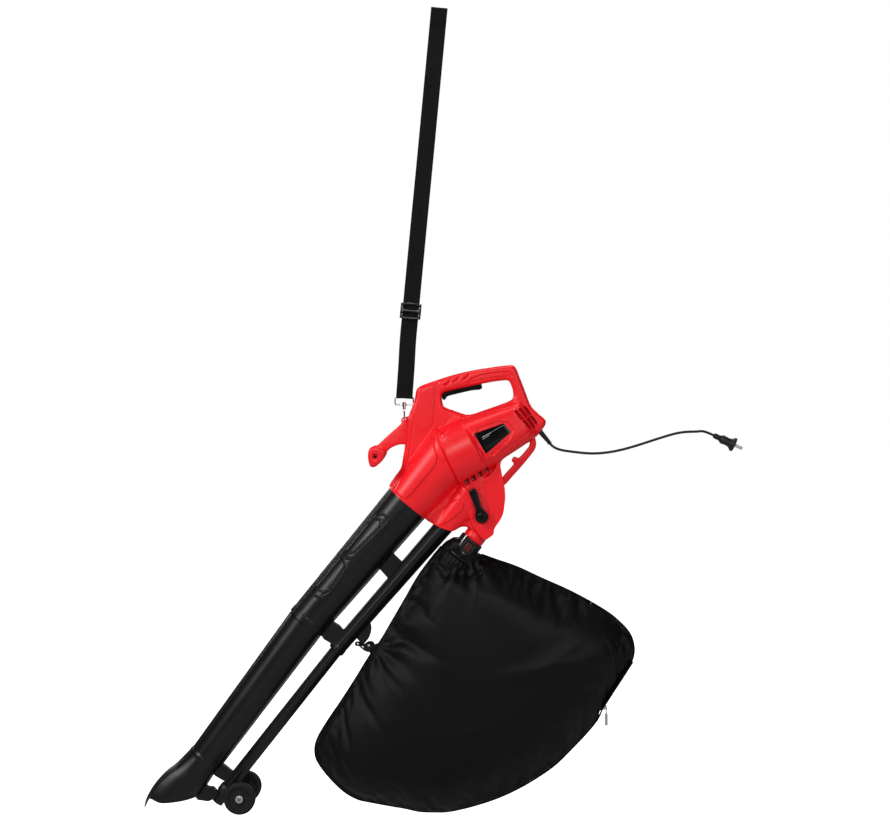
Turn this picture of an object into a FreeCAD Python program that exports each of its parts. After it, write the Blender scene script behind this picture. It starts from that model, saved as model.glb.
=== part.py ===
import FreeCAD, Part
import math
import os
import Sketcher
from FreeCAD import Placement, Rotation, Vector

# Leaf vacuum mulcher, millimetres. +Z is up, +X runs from the nozzle to the rear handle, +Y to the right-hand side.
# The origin is the point on the ground half way between the two wheels.

os.makedirs("parts", exist_ok=True)
doc = FreeCAD.newDocument("leaf_vacuum_mulcher")

# ---------------------------------------------------------------- driving dimensions
DIMENSIONS = {
    # suction tubes: tilt is the angle between a tube and the vertical
    "upper_tube_tilt": 40.2,
    "lower_tube_tilt": 36.56,
    "tube_joint_x": 129.5,
    "tube_joint_z": 378.6,
    "upper_tube_length": 322.0,
    "upper_tube_low_radius": 38.9,
    "upper_tube_top_radius": 45.9,
    "tube_socket_depth": 34.0,
    "lower_tube_length": 342.5,
    "lower_tube_low_radius": 33.5,
    "lower_tube_top_radius": 38.4,
    "tube_wall": 2.4,
    "spigot_radius": 36.3,
    "spigot_length": 24.0,
    "web_half_width": 7.0,
    # blow tubes
    "upper_blow_tilt": 41.08,
    "lower_blow_tilt": 38.34,
    "blow_joint_x": 190.6,
    "blow_joint_z": 321.3,
    "upper_blow_length": 333.9,
    "upper_blow_low_radius": 15.2,
    "upper_blow_top_radius": 19.0,
    "blow_socket_depth": 30.0,
    "lower_blow_length": 394.3,
    "lower_blow_radius": 12.6,
    "blow_wall": 1.9,
    "blow_bore_radius": 10.6,
    "nozzle_seat_radius": 11.2,
    "nozzle_seat_depth": 25.0,
    # wheels
    "wheel_radius": 31.8,
    "wheel_width": 20.0,
    "wheel_centre_y": 53.0,
    "axle_radius": 4.0,
    "axle_length": 134.0,
    "running_gap": 0.05,
    # housing
    "housing_wall": 2.6,
    "grip_half_width": 19.0,
    "motor_tilt": 63.0,
    "fan_x": 452.0,
    "fan_z": 731.0,
    "fan_case_radius": 65.5,
    "fan_case_front": 34.0,
    "barrel_start": 22.0,
    "barrel_length": 118.0,
    "barrel_front_radius": 60.0,
    "barrel_rear_radius": 42.0,
    "duct_radius": 49.5,
    "duct_length": 110.0,
    "valve_x": 488.3,
    "valve_z": 599.0,
    "valve_radius": 46.0,
    "valve_half_width": 32.0,
    "bag_outlet_tilt": 38.5,
    "bag_outlet_x": 463.0,
    "bag_outlet_z": 540.0,
    "bag_outlet_radius": 20.5,
    # motor and fan
    "shaft_radius": 4.0,
    "bearing_width": 8.0,
    "front_bearing_radius": 13.0,
    "rear_bearing_radius": 11.0,
    "impeller_radius": 56.0,
    "vane_depth": 30.0,
    "armature_radius": 24.0,
    "stator_radius": 43.0,
    "core_length": 40.0,
    "commutator_radius": 12.0,
    # controls
    "trigger_half_width": 7.0,
    "trigger_pivot_x": 420.0,
    "trigger_pivot_z": 857.0,
    "plunger_radius": 2.0,
    "lever_radius": 13.7,
    "lever_arm_length": 58.0,
    "lever_depth": 11.0,
    "lever_shaft_radius": 4.0,
    # bag
    "bag_half_depth": 62.0,
    "fabric": 1.4,
    "collar_outer_radius": 25.0,
    "collar_flange_radius": 31.0,
    "collar_length": 34.0,
    "latch_width": 14.0,
    "latch_length": 18.0,
    "latch_height": 12.0,
    # strap and hook
    "hook_x": 330.5,
    "eyelet_x": 331.0,
    "eyelet_z": 794.0,
    "hook_bend_radius": 8.0,
    "hook_wire_radius": 1.6,
    "strap_half_width": 16.9,
    "strap_half_depth": 3.05,
    "strap_inner_half_depth": 1.75,
    "buckle_half_width": 21.5,
    "buckle_length": 35.0,
    # mains lead
    "cord_radius": 2.6,
    "plug_length": 46.0,
    "plug_flange_radius": 16.0,
    "pin_length": 17.5,
}

sheet = doc.addObject("Spreadsheet::Sheet", "Sizes")
for row, (alias, number) in enumerate(DIMENSIONS.items(), start=1):
    sheet.set(f"A{row}", alias)
    sheet.set(f"B{row}", str(number))
    sheet.setAlias(f"B{row}", alias)
doc.recompute()


def size(alias):
    """The number in a cell of the sheet."""
    return float(sheet.get(alias))


# ---------------------------------------------------------------- placements
def tilted(x, z, tilt, y=0.0):
    """Local Z leans from the vertical towards +X by tilt degrees."""
    return Placement(Vector(x, y, z), Rotation(Vector(0, 1, 0), tilt))


def along_y(x, y, z):
    """Local Z points along +Y."""
    return Placement(Vector(x, y, z), Rotation(Vector(1, 0, 0), -90))


def direction(tilt):
    return Vector(math.sin(math.radians(tilt)), 0, math.cos(math.radians(tilt)))


def along(x, z, tilt, distance, y=0.0):
    """A tilted placement moved along its own axis."""
    place = tilted(x, z, tilt, y)
    place.Base = place.Base + direction(tilt) * distance
    return place


def on_motor(distance):
    return along(size("fan_x"), size("fan_z"), size("motor_tilt"), distance)


def on_bag_outlet(distance):
    return along(size("bag_outlet_x"), size("bag_outlet_z"), size("bag_outlet_tilt"), distance)


# ---------------------------------------------------------------- document helpers
NODES = []


def node(item, label):
    """Names a finished sub-part and keeps it for the checks and the export."""
    item.Label = label
    NODES.append(item)
    return item


def primitive(kind, name, place, **expressions):
    item = doc.addObject(kind, name)
    for property_name, expression in expressions.items():
        item.setExpression(property_name, expression)
    item.Placement = place
    return item


def cylinder(name, place, radius, height):
    return primitive("Part::Cylinder", name, place, Radius=radius, Height=height)


def cone(name, place, low_radius, top_radius, height):
    return primitive("Part::Cone", name, place, Radius1=low_radius, Radius2=top_radius, Height=height)


def box(name, place, length, width, height):
    return primitive("Part::Box", name, place, Length=length, Width=width, Height=height)


def fuse(name, items):
    item = doc.addObject("Part::MultiFuse", name)
    item.Shapes = items
    return item


def cut(name, base, tool):
    item = doc.addObject("Part::Cut", name)
    item.Base = base
    item.Tool = tool
    return item


def shape_feature(name, shape):
    item = doc.addObject("Part::Feature", name)
    item.Shape = shape
    return item


def origin_plane(body, role):
    return next(plane for plane in body.Origin.OriginFeatures if plane.Role == role)


def new_sketch(body, role, name):
    sketch = body.newObject("Sketcher::SketchObject", name)
    sketch.AttachmentSupport = [(origin_plane(body, role), "")]
    sketch.MapMode = "FlatFace"
    return sketch


def add_outline(sketch, points):
    """A closed outline of straight lines, each joined to the next."""
    first = sketch.GeometryCount
    count = len(points)
    for index in range(count):
        start = Vector(points[index][0], points[index][1], 0)
        end = Vector(points[(index + 1) % count][0], points[(index + 1) % count][1], 0)
        sketch.addGeometry(Part.LineSegment(start, end))
    for index in range(count):
        following = first + (index + 1) % count
        sketch.addConstraint(Sketcher.Constraint("Coincident", first + index, 2, following, 1))


def add_circle(sketch, expression):
    """A circle about the sketch's origin, its radius bound to the sheet."""
    index = sketch.addGeometry(Part.Circle(Vector(0, 0, 0), Vector(0, 0, 1), 10))
    sketch.addConstraint(Sketcher.Constraint("Coincident", index, 3, -1, 1))
    constraint = sketch.addConstraint(Sketcher.Constraint("Radius", index, 10))
    sketch.setExpression(f"Constraints[{constraint}]", expression)


def ring_body(name, place, outer, length, bore=None):
    """A disc or a ring about local Z, as a padded sketch of one or two circles."""
    body = doc.addObject("PartDesign::Body", name)
    sketch = new_sketch(body, "XY_Plane", name + "_sketch")
    add_circle(sketch, outer)
    if bore:
        add_circle(sketch, bore)
    pad = body.newObject("PartDesign::Pad", name + "_pad")
    pad.Profile = sketch
    pad.setExpression("Length", length)
    body.Placement = place
    return body


def plate_body(name, points, width, place=Placement(), holes=()):
    """An outline in the XZ plane, padded equally to both sides; a hole is (x, z, radius)."""
    body = doc.addObject("PartDesign::Body", name)
    sketch = new_sketch(body, "XZ_Plane", name + "_sketch")
    add_outline(sketch, points)
    for x, z, radius in holes:
        sketch.addGeometry(Part.Circle(Vector(x, z, 0), Vector(0, 0, 1), radius))
    pad = body.newObject("PartDesign::Pad", name + "_pad")
    pad.Profile = sketch
    pad.SideType = "Symmetric"
    pad.setExpression("Length", width)
    body.Placement = place
    return body


def turned_body(name, profile, place):
    """A profile of (radius, height) points, revolved about local Z."""
    body = doc.addObject("PartDesign::Body", name)
    sketch = new_sketch(body, "XZ_Plane", name + "_sketch")
    add_outline(sketch, profile)
    revolution = body.newObject("PartDesign::Revolution", name + "_revolution")
    revolution.Profile = sketch
    revolution.ReferenceAxis = (sketch, ["V_Axis"])
    revolution.Angle = 360
    body.Placement = place
    return body


def coil(name, place, radius, wire, pitch, height):
    """A round-wire compression spring about local Z."""
    helix = Part.makeHelix(pitch, height, radius)
    section = Part.Wire(Part.makeCircle(wire, Vector(radius, 0, 0), Vector(0, 1, 0)))
    spring = Part.Wire(helix.Edges).makePipeShell([section], True, True)
    item = shape_feature(name, spring)
    item.Placement = place
    return item


def prism(points, half_width):
    """A plain solid: an outline in the XZ plane, extruded to both sides."""
    corners = [Vector(x, -half_width, z) for x, z in points]
    face = Part.Face(Part.makePolygon(corners + corners[:1]))
    return face.extrude(Vector(0, 2 * half_width, 0))


def rod(place, radius, length):
    return Part.makeCylinder(radius, length, place.Base, place.Rotation.multVec(Vector(0, 0, 1)))


def taper(place, low_radius, top_radius, length):
    axis = place.Rotation.multVec(Vector(0, 0, 1))
    return Part.makeCone(low_radius, top_radius, length, place.Base, axis)


# ---------------------------------------------------------------- suction tubes
JOINT_X = size("tube_joint_x")
JOINT_Z = size("tube_joint_z")
UPPER_TILT = size("upper_tube_tilt")
LOWER_TILT = size("lower_tube_tilt")
UPPER_LENGTH = size("upper_tube_length")
LOWER_LENGTH = size("lower_tube_length")
BLOW_X = size("blow_joint_x")
BLOW_Z = size("blow_joint_z")
UPPER_BLOW_TILT = size("upper_blow_tilt")
LOWER_BLOW_TILT = size("lower_blow_tilt")
TUBE_OVERRUN = 6.0
TUBE_GAP = 0.03


def blow_tube_space(name):
    """The room that both blow tubes take, a hair larger, to trim the webs against."""
    upper = cone(
        name + "_upper",
        tilted(BLOW_X, BLOW_Z, UPPER_BLOW_TILT),
        f"Sizes.upper_blow_low_radius + {TUBE_GAP}",
        f"Sizes.upper_blow_top_radius + {TUBE_GAP}",
        "Sizes.upper_blow_length",
    )
    lower = cylinder(
        name + "_lower",
        along(BLOW_X, BLOW_Z, LOWER_BLOW_TILT, -size("lower_blow_length")),
        f"Sizes.lower_blow_radius + {TUBE_GAP}",
        "Sizes.lower_blow_length",
    )
    return fuse(name, [upper, lower])


def build_upper_suction_tube():
    low = tilted(JOINT_X, JOINT_Z, UPPER_TILT)
    top = along(JOINT_X, JOINT_Z, UPPER_TILT, UPPER_LENGTH)
    outer = cone(
        "upper_tube_skin", low, "Sizes.upper_tube_low_radius", "Sizes.upper_tube_top_radius", "Sizes.upper_tube_length"
    )
    socket = cylinder("upper_tube_end", top, "Sizes.upper_tube_top_radius", "Sizes.tube_socket_depth")
    upper_web = plate_body(
        "upper_tube_web", [(290, 530), (268, 500), (300, 472), (328, 504)], "Sizes.web_half_width * 2"
    )
    middle_web = plate_body(
        "middle_tube_web", [(180, 384), (160, 358), (183, 336), (209, 364)], "Sizes.web_half_width * 2"
    )
    solid = fuse("upper_tube_solid", [outer, socket, upper_web, middle_web])
    trimmed = cut("upper_tube_trimmed", solid, blow_tube_space("upper_tube_clearance"))
    bore = cone(
        "upper_tube_bore",
        low,
        "Sizes.upper_tube_low_radius - Sizes.tube_wall",
        "Sizes.upper_tube_top_radius - Sizes.tube_wall",
        "Sizes.upper_tube_length",
    )
    end_bore = cylinder(
        "upper_tube_end_bore", top, "Sizes.upper_tube_top_radius - Sizes.tube_wall", "Sizes.tube_socket_depth"
    )
    bores = fuse("upper_tube_bores", [bore, end_bore])
    node(cut("UpperSuctionTube", trimmed, bores), "upper_suction_tube")


def oval(name, place, major, minor):
    return primitive("Part::Ellipse", name, place, MajorRadius=major, MinorRadius=minor)


def nozzle_loft(name, inset):
    """The flared mouth: a round throat that opens to a wide oval lying flat over the ground."""
    throat_place = along(JOINT_X, JOINT_Z, LOWER_TILT, -LOWER_LENGTH)
    throat = f"Sizes.lower_tube_low_radius - {inset}"
    sections = [
        oval(name + "_throat", throat_place, throat, f"Sizes.lower_tube_low_radius - {inset} - 0.001"),
        oval(name + "_waist", tilted(-113.0, 65.5, 10.2), f"47.8 - {inset}", f"39 - {inset}"),
        oval(name + "_mouth", tilted(-144.0, 17.0, -5.3), f"54.4 - {inset}", f"43 - {inset}"),
    ]
    loft = doc.addObject("Part::Loft", name)
    loft.Sections = sections
    loft.Solid = True
    loft.Ruled = False
    return loft


def build_lower_suction_tube():
    low = along(JOINT_X, JOINT_Z, LOWER_TILT, -LOWER_LENGTH)
    joint = tilted(JOINT_X, JOINT_Z, UPPER_TILT)
    skin = cone(
        "lower_tube_skin",
        low,
        "Sizes.lower_tube_low_radius",
        "Sizes.lower_tube_top_radius",
        f"Sizes.lower_tube_length + {TUBE_OVERRUN}",
    )
    above_joint = cylinder("above_joint", joint, "2 * Sizes.lower_tube_top_radius", "4 * Sizes.spigot_length")
    barrel = cut("lower_tube_barrel", skin, above_joint)
    spigot = cylinder("lower_tube_spigot", joint, "Sizes.spigot_radius", "Sizes.spigot_length")
    lower_web = plate_body(
        "lower_tube_web", [(-52, 98), (-68, 78), (-33, 54.5), (-18, 73)], "Sizes.web_half_width * 2"
    )
    foot_web = plate_body(
        "foot_web", [(-84, 50), (-98, 24), (-75, 14), (-64, 20), (-51, 32), (-60, 42)], "Sizes.web_half_width * 2"
    )
    solid = fuse("lower_tube_solid", [barrel, spigot, nozzle_loft("nozzle_skin", 0), lower_web, foot_web])
    trimmed = cut("lower_tube_trimmed", solid, blow_tube_space("lower_tube_clearance"))
    bore = cone(
        "lower_tube_bore",
        low,
        "Sizes.lower_tube_low_radius - Sizes.tube_wall",
        "Sizes.lower_tube_top_radius - Sizes.tube_wall - 0.4",
        "Sizes.lower_tube_length",
    )
    spigot_bore = cylinder(
        "spigot_bore",
        along(JOINT_X, JOINT_Z, UPPER_TILT, -3),
        "Sizes.spigot_radius - Sizes.tube_wall",
        "Sizes.spigot_length + 4",
    )
    bores = fuse("lower_tube_bores", [bore, spigot_bore, nozzle_loft("nozzle_bore", size("tube_wall"))])
    node(cut("LowerSuctionTube", trimmed, bores), "lower_suction_tube")


# ---------------------------------------------------------------- blow tubes
def build_upper_blow_tube():
    low = tilted(BLOW_X, BLOW_Z, UPPER_BLOW_TILT)
    top = along(BLOW_X, BLOW_Z, UPPER_BLOW_TILT, size("upper_blow_length"))
    skin = cone(
        "upper_blow_skin", low, "Sizes.upper_blow_low_radius", "Sizes.upper_blow_top_radius", "Sizes.upper_blow_length"
    )
    end = cylinder("upper_blow_end", top, "Sizes.upper_blow_top_radius", "Sizes.blow_socket_depth")
    lug = plate_body(
        "bag_lug", [(230, 352), (246, 336), (259, 351), (262, 361), (260, 382), (246, 380)], "8"
    )
    solid = fuse("upper_blow_solid", [skin, end, lug])
    bore = cone(
        "upper_blow_bore",
        low,
        "Sizes.upper_blow_low_radius - Sizes.blow_wall",
        "Sizes.upper_blow_top_radius - Sizes.blow_wall",
        "Sizes.upper_blow_length",
    )
    end_bore = cylinder(
        "upper_blow_end_bore", top, "Sizes.upper_blow_top_radius - Sizes.blow_wall", "Sizes.blow_socket_depth"
    )
    node(cut("UpperBlowTube", solid, fuse("upper_blow_bores", [bore, end_bore])), "upper_blow_tube")


def build_lower_blow_tube():
    low = along(BLOW_X, BLOW_Z, LOWER_BLOW_TILT, -size("lower_blow_length"))
    joint = along(BLOW_X, BLOW_Z, UPPER_BLOW_TILT, -4)
    skin = cylinder("lower_blow_skin", low, "Sizes.lower_blow_radius", "Sizes.lower_blow_length")
    spigot = cylinder("lower_blow_spigot", joint, "Sizes.lower_blow_radius - 0.3", "Sizes.spigot_length + 4")
    solid = fuse("lower_blow_solid", [skin, spigot])
    bore = cylinder("lower_blow_bore", low, "Sizes.blow_bore_radius", "Sizes.lower_blow_length")
    spigot_bore = cylinder(
        "blow_spigot_bore", along(BLOW_X, BLOW_Z, UPPER_BLOW_TILT, -6), "Sizes.blow_bore_radius - 0.4", "Sizes.spigot_length + 8"
    )
    seat = cylinder("nozzle_seat", low, "Sizes.nozzle_seat_radius", "Sizes.nozzle_seat_depth")
    node(cut("LowerBlowTube", solid, fuse("lower_blow_bores", [bore, spigot_bore, seat])), "lower_blow_tube")


# ---------------------------------------------------------------- wheels
AXLE_Z = size("wheel_radius")
BRACKET_RISE = 31.5
BRACKET_WIDTH = 17.0
BARREL_LENGTH = 84.0
CAP_HEIGHT = 2.6


def build_wheel_bracket():
    ring_place = along(BLOW_X, BLOW_Z, LOWER_BLOW_TILT, BRACKET_RISE - size("lower_blow_length") - BRACKET_WIDTH / 2)
    ring = cylinder("bracket_ring", ring_place, "Sizes.lower_blow_radius + 3", str(BRACKET_WIDTH))
    web = plate_body("bracket_web", [(-27, 24), (-4, 25), (3, 38), (-18, 47)], "10")
    barrel = cylinder("bracket_barrel", along_y(0, -BARREL_LENGTH / 2, AXLE_Z), "7.5", str(BARREL_LENGTH))
    solid = fuse("bracket_solid", [ring, web, barrel])
    tube_hole = cylinder(
        "bracket_tube_hole",
        along(BLOW_X, BLOW_Z, LOWER_BLOW_TILT, -size("lower_blow_length")),
        f"Sizes.lower_blow_radius + {TUBE_GAP}",
        "120",
    )
    axle_hole = cylinder(
        "bracket_axle_hole",
        along_y(0, -BARREL_LENGTH / 2, AXLE_Z),
        "Sizes.axle_radius + Sizes.running_gap",
        str(BARREL_LENGTH),
    )
    node(cut("WheelBracket", solid, fuse("bracket_holes", [tube_hole, axle_hole])), "wheel_bracket")


def build_wheel(label, side):
    """A moulded wheel with a raised rim, a dished face and a hub that runs on the axle."""
    radius = size("wheel_radius")
    width = size("wheel_width")
    bore = size("axle_radius") + size("running_gap")
    profile = [
        (bore, 0),
        (10, 0),
        (12, 4),
        (22, 4),
        (24, 0.5),
        (radius - 4, 0),
        (radius, 3),
        (radius, width - 3),
        (radius - 4, width),
        (24, width - 0.5),
        (22, width - 4),
        (12, width - 4),
        (10, width),
        (bore, width),
    ]
    start = side * size("wheel_centre_y") - width / 2
    node(turned_body(label.title().replace("_", ""), profile, along_y(0, start, AXLE_Z)), label)


def build_axle_and_caps():
    half = size("axle_length") / 2
    node(ring_body("WheelAxle", along_y(0, -half, AXLE_Z), "Sizes.axle_radius", "Sizes.axle_length"), "wheel_axle")
    outside = size("wheel_centre_y") + size("wheel_width") / 2 + 0.4
    caps = []
    for name, start in (("cap_right", outside), ("cap_left", -outside - CAP_HEIGHT)):
        cap = cylinder(name, along_y(0, start, AXLE_Z), "7.2", str(CAP_HEIGHT))
        hole = cylinder(name + "_hole", along_y(0, start, AXLE_Z), "Sizes.axle_radius + 0.02", str(CAP_HEIGHT))
        caps.append(cut(name + "_ring", cap, hole))
    node(fuse("AxleCaps", caps), "axle_caps")


# ---------------------------------------------------------------- motor housing
FAN_FRONT = -size("fan_case_front")
BARREL_START = size("barrel_start")
GRIP_HALF = size("grip_half_width")
WALL = size("housing_wall")
VALVE_X = size("valve_x")
VALVE_Z = size("valve_z")
VALVE_HALF = size("valve_half_width")
EYE_X = size("eyelet_x")
EYE_Z = size("eyelet_z")
PIVOT_X = size("trigger_pivot_x")
PIVOT_Z = size("trigger_pivot_z")
REAR_SEAT = 118.0
REAR_SEAT_WIDTH = 7.0
SCREW_POINTS = [(350, 772), (366, 846), (555, 888), (604, 795), (522, 672)]

BODY_OUTLINE = [
    (301, 655.8),
    (301, 664),
    (325.4, 696),
    (329, 720),
    (333, 742),
    (336, 780),
    (342, 806),
    (352.5, 822),
    (356, 836),
    (357, 857),
    (374.5, 867.6),
    (399.8, 876.4),
    (449.8, 891.1),
    (512.5, 902.2),
    (553.5, 906.7),
    (559, 902),
    (575.4, 858),
    (588, 823.7),
    (621, 793.8),
    (617.7, 783),
    (597.4, 757.7),
    (524, 706),
    (534, 659),
    (536, 640),
    (533, 610),
    (525, 590),
    (508, 568),
    (490, 555),
    (466, 577),
    (431, 568),
    (387, 583.6),
    (369, 597.8),
]

HANDLE_OPENING = [
    (407, 850),
    (412, 820.6),
    (462.5, 803.2),
    (544, 828.4),
    (555, 842.6),
    (547, 875.4),
    (486, 867.6),
]

REAR_BRACKET = [
    (587, 763),
    (600, 757),
    (600.5, 741),
    (596, 731),
    (536, 660),
    (528, 676),
    (534, 678),
    (553, 700),
    (549, 709),
    (557, 713),
    (563, 711),
    (581, 733),
    (587, 745),
]


def inset_prism(points, inset, half_width):
    corners = [Vector(x, -half_width, z) for x, z in points]
    face = Part.Face(Part.makePolygon(corners + corners[:1]))
    shrunk = face.makeOffset2D(-inset, 2, False, False, True)
    return shrunk.extrude(Vector(0, 2 * half_width, 0))


def grown_prism(points, growth, half_width):
    return inset_prism(points, -growth, half_width)


def ducts(shrink):
    """The round volumes of the housing: fan case, motor barrel, air ducts and the valve chamber."""
    fan = rod(on_motor(FAN_FRONT + shrink), size("fan_case_radius") - shrink, -FAN_FRONT + BARREL_START - shrink + 0.5)
    barrel = taper(
        on_motor(BARREL_START),
        size("barrel_front_radius") - shrink,
        size("barrel_rear_radius") - shrink,
        size("barrel_length") - shrink,
    )
    tube_top = along(JOINT_X, JOINT_Z, UPPER_TILT, UPPER_LENGTH)
    suction = rod(tube_top, size("duct_radius") - shrink, size("duct_length") + 10 * shrink)
    valve = rod(along_y(VALVE_X, -VALVE_HALF + shrink, VALVE_Z), size("valve_radius") - shrink, 2 * (VALVE_HALF - shrink))
    fan_outlet = rod(tilted(VALVE_X, VALVE_Z, -10), 30 - shrink, 104)
    blow_top = along(BLOW_X, BLOW_Z, UPPER_BLOW_TILT, size("upper_blow_length"))
    blow = rod(blow_top, size("upper_blow_top_radius") + 4.5 - shrink, 76)
    bag = rod(on_bag_outlet(-16), size("bag_outlet_radius") - shrink, 62)
    volumes = [fan, barrel, suction, valve, fan_outlet, blow, bag]
    return volumes[0].multiFuse(volumes[1:])


def strap_eye():
    """A flat tab with a hole that the strap's hook passes through."""
    tab = prism([(334, 787.5), (345, 786), (345, 800), (334, 800.5)], 2.0)
    ring = Part.makeCylinder(6.9, 4, Vector(EYE_X, -2, EYE_Z), Vector(0, 1, 0))
    return tab.fuse(ring)


def screw_space(extra):
    """The housing screws: a head in a counterbore on the right and a shank across the joint."""
    screws = []
    for x, z in SCREW_POINTS:
        head = Part.makeCylinder(3.8 + extra, 3, Vector(x, GRIP_HALF - 3, z), Vector(0, 1, 0))
        shank = Part.makeCylinder(1.9 + extra, 28, Vector(x, GRIP_HALF - 31, z), Vector(0, 1, 0))
        screws.append(head.fuse(shank))
    return Part.makeCompound(screws)


def housing_shell():
    slab = prism(BODY_OUTLINE, GRIP_HALF).cut(prism(HANDLE_OPENING, GRIP_HALF + 1))
    slab = slab.fuse(prism(REAR_BRACKET, 8))
    hollow = inset_prism(BODY_OUTLINE, WALL, GRIP_HALF - WALL)
    hollow = hollow.cut(grown_prism(HANDLE_OPENING, WALL, GRIP_HALF))
    round_outer = ducts(0)
    round_inner = ducts(WALL)
    solid = slab.fuse([round_outer, strap_eye()])
    for x, z in SCREW_POINTS:
        hollow = hollow.cut(Part.makeCylinder(5.5, 2 * GRIP_HALF, Vector(x, -GRIP_HALF, z), Vector(0, 1, 0)))
    shell = solid.cut([hollow.cut(round_outer), round_inner])
    seat = rod(on_motor(REAR_SEAT), size("barrel_rear_radius") + 1.5, REAR_SEAT_WIDTH)
    shaft_boss = rod(along_y(VALVE_X, 24, VALVE_Z), 7, VALVE_HALF - 24)
    trigger_pin = rod(along_y(PIVOT_X, -GRIP_HALF + 1, PIVOT_Z), 2.4, 2 * GRIP_HALF - 2)
    shell = shell.fuse([seat, shaft_boss])
    openings = [
        rod(on_motor(REAR_SEAT), size("rear_bearing_radius") + TUBE_GAP, REAR_SEAT_WIDTH),
        rod(on_motor(FAN_FRONT - 2), 36, 6),
        rod(along_y(VALVE_X, -VALVE_HALF, VALVE_Z), size("lever_shaft_radius") + 0.05, 2 * VALVE_HALF - 2.6),
        rod(along(JOINT_X, JOINT_Z, UPPER_TILT, UPPER_LENGTH - 1), size("upper_tube_top_radius") + 0.1, 60),
        rod(
            along(BLOW_X, BLOW_Z, UPPER_BLOW_TILT, size("upper_blow_length") - 16),
            size("upper_blow_top_radius") + 0.1,
            size("blow_socket_depth") + 16.2,
        ),
        rod(on_bag_outlet(-17), size("bag_outlet_radius") - WALL, 10),
        Part.makeCylinder(3.9, 6, Vector(EYE_X, -3, EYE_Z), Vector(0, 1, 0)),
        prism([(407.2, 838), (490, 856), (490, 872), (407.2, 864)], 7.6),
        screw_space(0.05),
        rod(tilted(*SLEEVE_ROOT, SLEEVE_TILT), 6.55, 14),
        vent_slots(),
    ]
    return shell.cut(openings).fuse(trigger_pin)


SLEEVE_ROOT = (604.4, 776.4)
SLEEVE_TILT = 140.3
VENT_ROWS = [((556.6, 812.6), (586.3, 778.2)), ((565.8, 817.3), (594.3, 781.3)), ((576.9, 820.6), (600.4, 787.6))]


def vent_slots():
    """Three slanting slots for cooling air, through both cheeks at the rear."""
    slots = []
    for (top_x, top_z), (low_x, low_z) in VENT_ROWS:
        length = math.hypot(low_x - top_x, low_z - top_z)
        lean = math.degrees(math.atan2(low_x - top_x, low_z - top_z))
        slot = Part.makeBox(4.2, 4 * GRIP_HALF, length - 8, Vector(-2.1, -2 * GRIP_HALF, 4))
        slot.Placement = tilted(top_x, top_z, lean)
        slots.append(slot)
    return Part.makeCompound(slots)


def build_housing():
    shell = housing_shell()
    reach = 2000.0
    left_space = Part.makeBox(reach, reach, reach, Vector(-reach / 2, -reach, -reach / 4))
    node(shape_feature("HousingLeft", shell.common(left_space)), "housing_left")
    node(shape_feature("HousingRight", shell.cut(left_space)), "housing_right")
    node(shape_feature("HousingScrews", screw_space(0)), "housing_screws")


def build_name_plate():
    """A blank plate that follows the curve of the motor barrel on the left side."""
    low = size("barrel_front_radius")
    top = size("barrel_rear_radius")
    length = size("barrel_length")
    over = taper(on_motor(BARREL_START), low + 1.1, top + 1.1, length)
    under = taper(on_motor(BARREL_START), low + 0.05, top + 0.05, length)
    outline = [(473.4, 767), (531.6, 787.6), (547, 770.4), (497, 727)]
    window = prism(outline, 80).common(Part.makeBox(800, 80, 1200, Vector(200, -80, 200)))
    node(shape_feature("NamePlate", over.cut(under).common(window)), "name_plate")


def build_front_handle():
    """A cross grip on an arm that reaches forward from the housing."""
    arm = plate_body(
        "handle_arm",
        [(333, 748), (331, 782), (318, 777), (275, 741), (266, 730), (285, 720), (294, 731), (322, 744)],
        "26",
    )
    grip_outline = [(275, 701), (263, 707), (257.5, 722), (262, 739), (274, 742), (288, 738), (293.5, 728), (290, 716)]
    grip = plate_body("handle_grip", grip_outline, "120")
    solid = fuse("handle_solid", [arm, grip])
    recess = cylinder("handle_screw_recess", along_y(273.7, -60, 719), "5", "6")
    pilot = cylinder("handle_screw_hole", along_y(273.7, -54, 719), "1.95", "20")
    core = cylinder("handle_core", along_y(275, -30, 722), "11", "90")
    node(cut("FrontHandle", solid, fuse("handle_holes", [recess, pilot, core])), "front_handle")
    head = cylinder("handle_screw_head", along_y(273.7, -57, 719), "3.6", "3")
    shank = cylinder("handle_screw_shank", along_y(273.7, -54, 719), "1.9", "16")
    node(fuse("FrontHandleScrew", [head, shank]), "front_handle_screw")


# ---------------------------------------------------------------- motor and fan
VANE_COUNT = 8


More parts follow.
